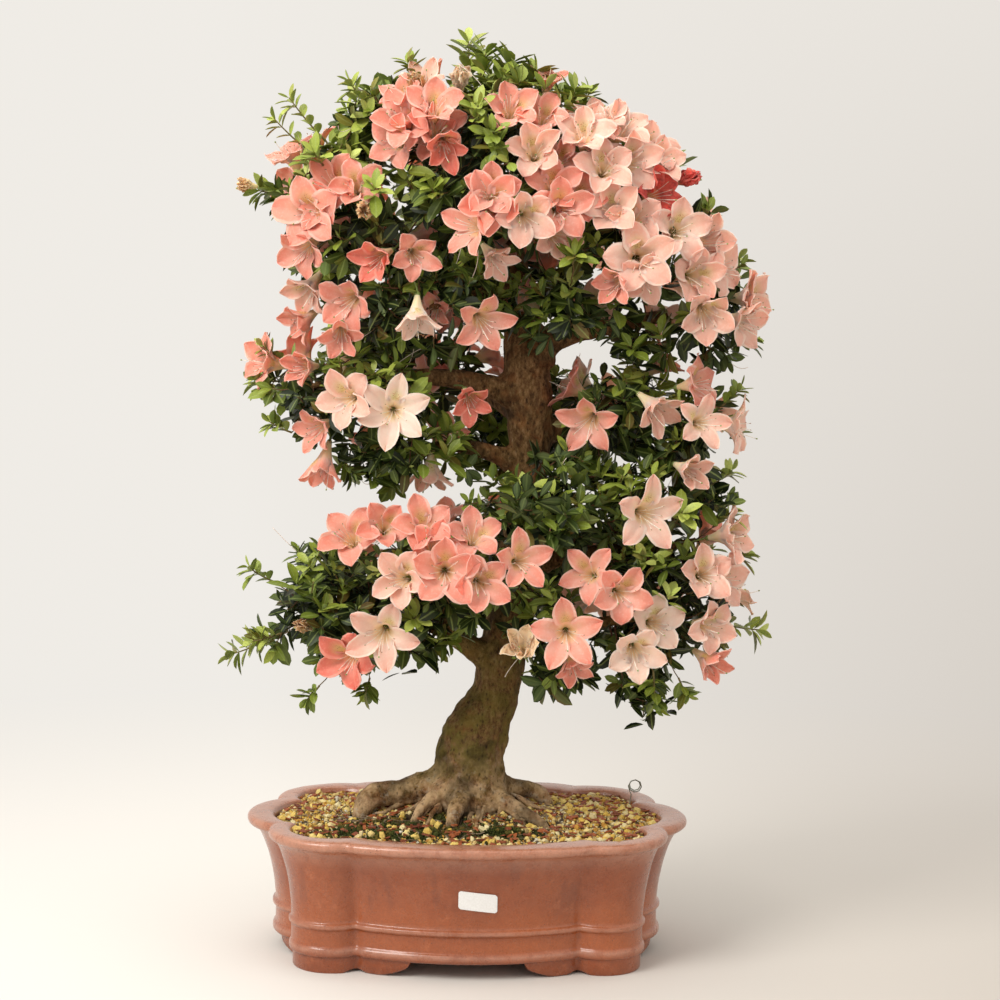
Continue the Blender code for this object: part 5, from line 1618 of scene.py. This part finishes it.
def in_flower(blooms, behind, beyond, place):
    """True where a place lies in a flower, or less than the given reach behind or beyond its mouth."""
    mouths, facings = blooms
    away = place[None] - mouths
    ahead = (away * facings).sum(1)
    aside = np.linalg.norm(away - ahead[:, None] * facings, axis=1)
    return ((ahead > -behind) & (ahead < beyond) & (aside < FLOWER_RADIUS)).any()


def whorls_of(pad, pads, wood, blooms, rng):
    """Where the shoots of one mass end: place, direction, how young each is with painted light and
    shade added, and if it is inside.
    """
    found, kept = [], []
    tries = int(pad.areas.sum() * WHORL_DENSITY * TRIES_FOR_EACH)
    for _ in range(tries):
        place, normal = pad.sample(rng)
        if normal[2] < -0.35 and rng.uniform() < 0.30:
            continue
        if pad.crowded(place + normal * 0.007, pads):
            continue
        if wood.find_nearest(Vector(place))[3] < 0.010:
            continue
        clump = noise.noise(Vector(place) * 17.0)
        if clump < -0.30 and rng.uniform() < 0.80:
            continue
        inner = rng.uniform() < INNER_SHARE
        depth = rng.uniform(0.020, 0.056) if inner else rng.uniform(0.000, 0.016) - 0.013 * clump
        tip = place - normal * depth
        if in_clearing(tip) or in_flower(blooms, 0.030, 0.050, tip):
            continue
        if found and np.min(np.linalg.norm(np.array(found) - tip, axis=1)) < LEAF_SPACING:
            continue
        direction = unit(normal + UP * 0.55 + rng.normal(0, 0.30, 3))
        if normal[2] < -0.3:
            direction = unit(normal * 0.8 + UP * 0.2 + rng.normal(0, 0.35, 3))
        # Partly painted light: leaves on upward faces and high in the crown are made lighter, and inner
        # leaves are made near black as painted shade; clump and chance give the leaves' own youth.
        height = np.clip((normal[2] + 0.35) / 1.2, 0, 1)
        crown = np.clip((tip[2] - 0.66) / 0.14, 0, 1)
        youth_and_light = 0.02
        if not inner:
            youth_and_light = 0.12 + 0.20 * crown + 0.34 * height + 0.18 * clump + rng.normal(0, 0.16)
            youth_and_light += 0.28 if rng.uniform() < 0.07 else 0.0
        found.append(tip)
        kept.append((tip, direction, float(np.clip(youth_and_light, 0.02, 0.95)), inner))
    return kept


def leaf_points(base, ahead, upper, length, width, fold, bend):
    """Points of many thin closed leaves: (many, 18, 3)."""
    across = np.cross(upper, ahead)
    rows = []

    def at(u, side, lift):
        droop = -bend * length * u ** 2
        return (base + ahead * (u * length)[:, None] + across * side[:, None]
                + upper * (lift + droop)[:, None])

    zero = np.zeros(len(length))
    rows.append(at(zero, zero, zero))
    for u, w in zip(LEAF_STATIONS, LEAF_WIDTHS):
        share = np.full(len(length), u)
        half = width * w / 2
        raised = fold * half
        rows.append(at(share, half, raised))
        rows.append(at(share, zero, zero + LEAF_THICKNESS / 2))
        rows.append(at(share, -half, raised))
        rows.append(at(share, zero, zero - LEAF_THICKNESS / 2))
    rows.append(at(zero + 1.0, zero, zero))
    return np.stack(rows, 1)


def leaf_faces():
    """Faces of one leaf over the points that leaf_points gives."""
    faces = []
    last = 1 + 4 * len(LEAF_STATIONS)
    for k in range(4):
        after = (k + 1) % 4
        faces.append((0, 1 + after, 1 + k))
        faces.append((last, last - 4 + k, last - 4 + after))
        for row in range(len(LEAF_STATIONS) - 1):
            a, b = 1 + 4 * row + k, 1 + 4 * row + after
            faces.append((a, b, b + 4, a + 4))
    return faces


def leaf_facts(youth_and_light):
    """Colour facts of many leaves: youth with painted light, distance from the midrib, and which face
    is up.
    """
    across = np.array([0.0] + [1.0, 0.0, 1.0, 0.0] * len(LEAF_STATIONS) + [0.0])
    above = np.array([0.5] + [0.5, 1.0, 0.5, 0.0] * len(LEAF_STATIONS) + [0.5])
    facts = np.zeros((len(youth_and_light), len(across), 3))
    facts[:, :, 0] = youth_and_light[:, None]
    facts[:, :, 1] = across
    facts[:, :, 2] = above
    return facts


def add_leaves(gathered, leaves):
    """Leaves as (base, ahead, upper, length, width, youth and painted light) rows, each with its own
    fold and bend.
    """
    rng = np.random.default_rng(len(leaves))
    base, ahead, upper = (np.array([leaf[k] for leaf in leaves]) for k in range(3))
    length, width, youth_and_light = (np.array([leaf[k] for leaf in leaves]) for k in range(3, 6))
    ahead = unit(ahead)
    upper = unit(upper - ahead * (upper * ahead).sum(1, keepdims=True))
    fold = rng.uniform(0.10, 0.50, len(leaves))
    bend = rng.uniform(0.02, 0.22, len(leaves))
    points = leaf_points(base, ahead, upper, length, width, fold, bend)
    gathered.add_many(points, leaf_faces(), leaf_facts(youth_and_light), rng.uniform(0, 1, len(leaves)))


def leaf_piece(name, leaves, look, slot):
    """Leaves as one piece."""
    gathered = Gathered()
    add_leaves(gathered, leaves)
    return gathered.piece(name, [look], slot)


def whorl_leaves(rng, tip, direction, youth_and_light, length, count, blocked=None):
    """A rosette of leaves round the end of a shoot, the inner ones small and upright."""
    side = across_of(direction[None])[0]
    other = np.cross(direction, side)
    start = rng.uniform(0, 6.28)
    leaves = []
    for k in range(count):
        share = k / max(count - 1, 1)
        turn = start + 2.4 * k + rng.normal(0, 0.2)
        radial = side * math.cos(turn) + other * math.sin(turn)
        lean = math.radians(30 + 48 * share + rng.normal(0, 9))
        ahead = direction * math.cos(lean) + radial * math.sin(lean) - UP * 0.10
        upper = direction * math.sin(lean) - radial * math.cos(lean) + UP * 0.35
        long = length * (0.62 + 0.42 * share) * rng.uniform(0.85, 1.12)
        base = tip - direction * (0.009 * share) + radial * 0.0008
        if blocked is not None and blocked(base + unit(ahead) * long * 0.9):
            continue
        tone_key = float(np.clip(youth_and_light + 0.20 * (0.5 - share) + rng.normal(0, 0.08), 0, 1))
        leaves.append((base, ahead, upper, long, long * rng.uniform(0.40, 0.50), tone_key))
    return leaves


class Twigs:
    """A thin branching frame that grows from the wood to each shoot's end."""

    def __init__(self, wood):
        self.wood = wood
        self.spots = np.zeros((0, 3))
        self.reach = np.zeros(0)
        self.owner = np.zeros(0, int)
        self.runs = []
        self.parents = []

    def grow_to(self, tip, direction):
        """A run to an end, from the wood or from a twig that is as near."""
        hit, _, _, distance = self.wood.find_nearest(Vector(tip))
        start, parent, travelled = np.array(hit), -1, 0.0
        if len(self.spots):
            far = np.linalg.norm(self.spots - tip, axis=1)
            cost = far + 0.30 * self.reach
            best = int(cost.argmin())
            if cost[best] < distance * 1.05 and far[best] > 0.0015:
                start, parent = self.spots[best], int(self.owner[best])
                travelled = self.reach[best]
        length = np.linalg.norm(tip - start)
        middle = (start + tip) / 2 - direction * length * 0.16 - UP * length * 0.05
        path = curve_through(start, middle, tip, 5)
        self.runs.append(path)
        self.parents.append(parent)
        shares = np.linspace(0, 1, 5)[1:]
        self.spots = np.concatenate([self.spots, path[1:]])
        self.reach = np.concatenate([self.reach, travelled + shares * length])
        self.owner = np.concatenate([self.owner, np.full(4, len(self.runs) - 1)])

    def gather(self, gathered, rng):
        """Every run as a tube, the thicker the more ends it carries."""
        load = np.ones(len(self.runs))
        for k in range(len(self.runs) - 1, -1, -1):
            if self.parents[k] >= 0:
                load[self.parents[k]] += load[k]
        for path, many in zip(self.runs, load):
            thick = min(0.00055 * many ** 0.36, 0.0024)
            radii = np.linspace(thick, 0.00055, len(path))
            length = np.linalg.norm(path[-1] - path[0])
            wander = rng.normal(0, 0.02 * length, (len(path), 3))
            wander[0] = wander[-1] = 0
            tone_key = np.concatenate([np.repeat(np.linspace(0.1 if many > 3 else 0.35, 0.75, len(path)), 5),
                                  [0.3, 0.8]])
            points, faces = tube(path + wander, radii, 5)
            gathered.add_many(points[None], faces, None, tone_key[None])


def add_bud(gathered, tip, direction, rng):
    """A small pointed bud at the end of a shoot."""
    long = rng.uniform(0.0045, 0.0080)
    side = rng.normal(0, 0.0012, 3)
    path = [tip - direction * 0.001, tip + direction * long * 0.35 + side * 0.3,
            tip + direction * long + side]
    gathered.add(*tube(path, (0.0009, 0.0014, 0.0003), 6), None, rng.uniform(0, 1))


def make_shoot(leaves, stems, rng, foot, tip, length, youth_and_light):
    """A long shoot: a thin stem with pairs of leaves and a rosette at its tip."""
    foot, tip = np.asarray(foot, float), np.asarray(tip, float)
    reach = np.linalg.norm(tip - foot)
    ahead = (tip - foot) / reach
    stem_end = tip - ahead * min(length * 0.75, reach * 0.45)
    path = curve_through(foot, (foot + stem_end) / 2 - UP * reach * 0.05, stem_end, 6)
    stems.add(*tube(path, np.linspace(0.0011, 0.0006, 6), 5), None, 0.8)
    direction = unit(path[-1] - path[-2])
    leaves += whorl_leaves(rng, path[-1], direction, youth_and_light, length, 6)
    for k, spot in enumerate(path[1:-1]):
        turn = 2.4 * k + rng.uniform(0, 1)
        side = across_of(direction[None])[0]
        other = np.cross(direction, side)
        radial = side * math.cos(turn) + other * math.sin(turn)
        for sign in (1, -1):
            out = unit(direction * 0.75 + radial * sign + UP * 0.15)
            leaves.append((spot, out, UP + direction * 0.3, length * rng.uniform(0.65, 0.9),
                           length * 0.38, float(np.clip(youth_and_light - 0.08 + rng.normal(0, 0.05), 0, 1))))


# ---------------------------------------------------------------- the whole plant

def shoot_ends(name, axis, sign):
    """Foot and tip of a packed shoot: its two far ends along an axis."""
    points = points_of(NODES[name].data)
    order = np.argsort(points[:, axis] * sign)
    return points[order[:4]].mean(0), points[order[-1]]


def flower_rows(rng, pads):
    """Each flower: its piece's name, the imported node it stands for, its mouth and its look."""
    rows = []
    for name, look in NAMED_FLOWERS.items():
        node = "flower_" + name
        rows.append(("bloom_" + name, node, cad_mouth(node, look[0], look[1]), *look))
    for k, (mouth, *look) in enumerate(MORE_FLOWERS):
        rows.append((f"bloom_{k + 1:02d}", None, np.array(MIDDLE) + mouth, *look))
    taken = [np.array(row[2]) for row in rows]
    for k, row in enumerate(back_flowers(rng, taken, pads)):
        rows.append((f"bloom_back_{k + 1:02d}", None, *row))
    return rows


def flower_materials():
    """Petals in each tone, and the small parts of a flower."""
    looks = {"petals_" + tone: petal_material(tone) for tone in TONES}
    looks["filament"] = plain_tinted("filament", ((0.93, 0.76, 0.66), (0.94, 0.90, 0.76)),
                                     0.5, 500.0, 0.0002)
    looks["anther"] = plain_tinted("anther", ((0.36, 0.190, 0.110), (0.62, 0.440, 0.260)),
                                   0.7, 900.0, 0.0002)
    looks["green_stalk"] = plain_tinted("green_stalk", ((0.14, 0.20, 0.045), (0.34, 0.40, 0.12)),
                                        0.55, 500.0, 0.0003)
    return looks


def grow_leaves(rng, pads, wood, blooms, leaf):
    """The leaves of every mass. Returned: the shoots' ends, buds and spent styles."""
    ends, buds, styles = [], Gathered(), Gathered()
    blocked = partial(in_flower, blooms, 0.018, 0.035)
    between = {f"between_{k + 1:02d}": round_mass(*row) for k, row in enumerate(MORE_FOLIAGE)}
    for name, pad in {**pads, **between}.items():
        leaves = []
        for tip, direction, youth_and_light, inner in whorls_of(pad, pads, wood, blooms, rng):
            count = int(rng.integers(6, 9)) if not inner else 5
            length = rng.uniform(0.019, 0.032)
            leaves += whorl_leaves(rng, tip, direction, youth_and_light, length, count, blocked)
            ends.append((tip - direction * 0.008, tip, direction))
            if not inner and rng.uniform() < 0.45:
                add_bud(buds, tip, direction, rng)
            if not inner and rng.uniform() < 0.05:
                far = tip + direction * rng.uniform(0.026, 0.040) + rng.normal(0, 0.008, 3)
                bent = tip + direction * 0.020 - UP * 0.004
                styles.add(*tube(curve_through(tip, bent, far, 7), 0.00036, 4), None, rng.uniform(0, 1))
        piece = leaf_piece("leaves_" + name.removeprefix("foliage_"), leaves, leaf, "leaf")
        if name in pads:
            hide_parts(name)
    return ends, buds, styles


def other_ends(flowers):
    """Where the flowers' stalks and the long shoots leave the twigs."""
    middle = np.array(MIDDLE)
    ends = []
    for _, _, mouth, facing, size, _, _ in flowers:
        ahead = unit(np.array(facing))
        foot = np.array(mouth) - ahead * (FLOWER_HEIGHT + STALK_LENGTH) * size
        ends.append((foot, foot, ahead))
    for foot, tip, _, _ in MORE_SHOOTS:
        ends.append((middle + foot, middle + foot, unit(np.array(tip) - foot)))
    for name, (axis, sign) in NAMED_SHOOTS.items():
        foot, tip = shoot_ends("shoot_" + name, axis, sign)
        ends.append((foot, foot, unit(tip - foot)))
    return ends


def grow_twigs(rng, wood, ends, look):
    """Twigs from the wood to every end, the ends nearest the wood first."""
    twigs, forms = Twigs(wood), Gathered()
    for _, tip, direction in sorted(ends, key=lambda end: wood.find_nearest(Vector(end[0]))[3]):
        twigs.grow_to(tip, direction)
    twigs.gather(forms, rng)
    forms.piece("twigs", [look], "bark")


def grow_shoots(rng, leaf, twig):
    """The long shoots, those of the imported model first."""
    middle = np.array(MIDDLE)
    stems = Gathered()
    for name, (axis, sign) in NAMED_SHOOTS.items():
        leaves = []
        foot, tip = shoot_ends("shoot_" + name, axis, sign)
        make_shoot(leaves, stems, rng, foot, tip, 0.032 if name == "top" else 0.026, 0.80)
        piece = leaf_piece("young_leaves_" + name, leaves, leaf, "young_leaf")
        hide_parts("shoot_" + name)
    leaves = []
    for foot, tip, length, youth_and_light in MORE_SHOOTS:
        make_shoot(leaves, stems, rng, middle + foot, middle + tip, length, youth_and_light)
    leaf_piece("young_leaves_more", leaves, leaf, "young_leaf")
    stems.piece("young_stems", [twig], "young_leaf")


def make_plant():
    """Wood, flowers, leaves, twigs and shoots. Returned: the surface of the wood."""
    wood = make_wood()
    rng = np.random.default_rng(7)
    pads = {name: Pad(NODES[name].data) for name in sorted(NODES) if name.startswith("foliage_")}
    materials = flower_materials()
    flowers = flower_rows(rng, pads)
    for seed, (name, node, *look) in enumerate(flowers):
        bloom = make_flower(name, *look, 100 + seed, materials)
        if node:
            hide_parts(node)
    leaf, twig = leaf_material(), twig_material()
    blooms = np.array([row[2] for row in flowers]), unit(np.array([row[3] for row in flowers]))
    ends, buds, styles = grow_leaves(rng, pads, wood, blooms, leaf)
    grow_twigs(rng, wood, ends + other_ends(flowers), twig)
    bud = plain_tinted("bud", ((0.20, 0.26, 0.05), (0.40, 0.46, 0.12)), 0.5, 500.0, 0.0004)
    buds.piece("shoot_buds", [bud], "young_leaf")
    styles.piece("spent_styles", [materials["filament"]], "petal_white")
    grow_shoots(rng, leaf, twig)
    return wood


def finish_small_nodes():
    """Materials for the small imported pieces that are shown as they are."""
    looks = {"blank_label": label_material(), "wire_pin": wire_material()}
    looks["mesh_clip_left"] = looks["mesh_clip_right"] = looks["wire_pin"]
    looks["drainage_mesh_left"] = looks["drainage_mesh_right"] = plastic_material()
    for name, look in looks.items():
        dress(NODES[name].data, look)


make_camera()
make_floor()
make_light()
make_pot()
make_ground(make_plant())
finish_small_nodes()

bpy.context.view_layer.update()
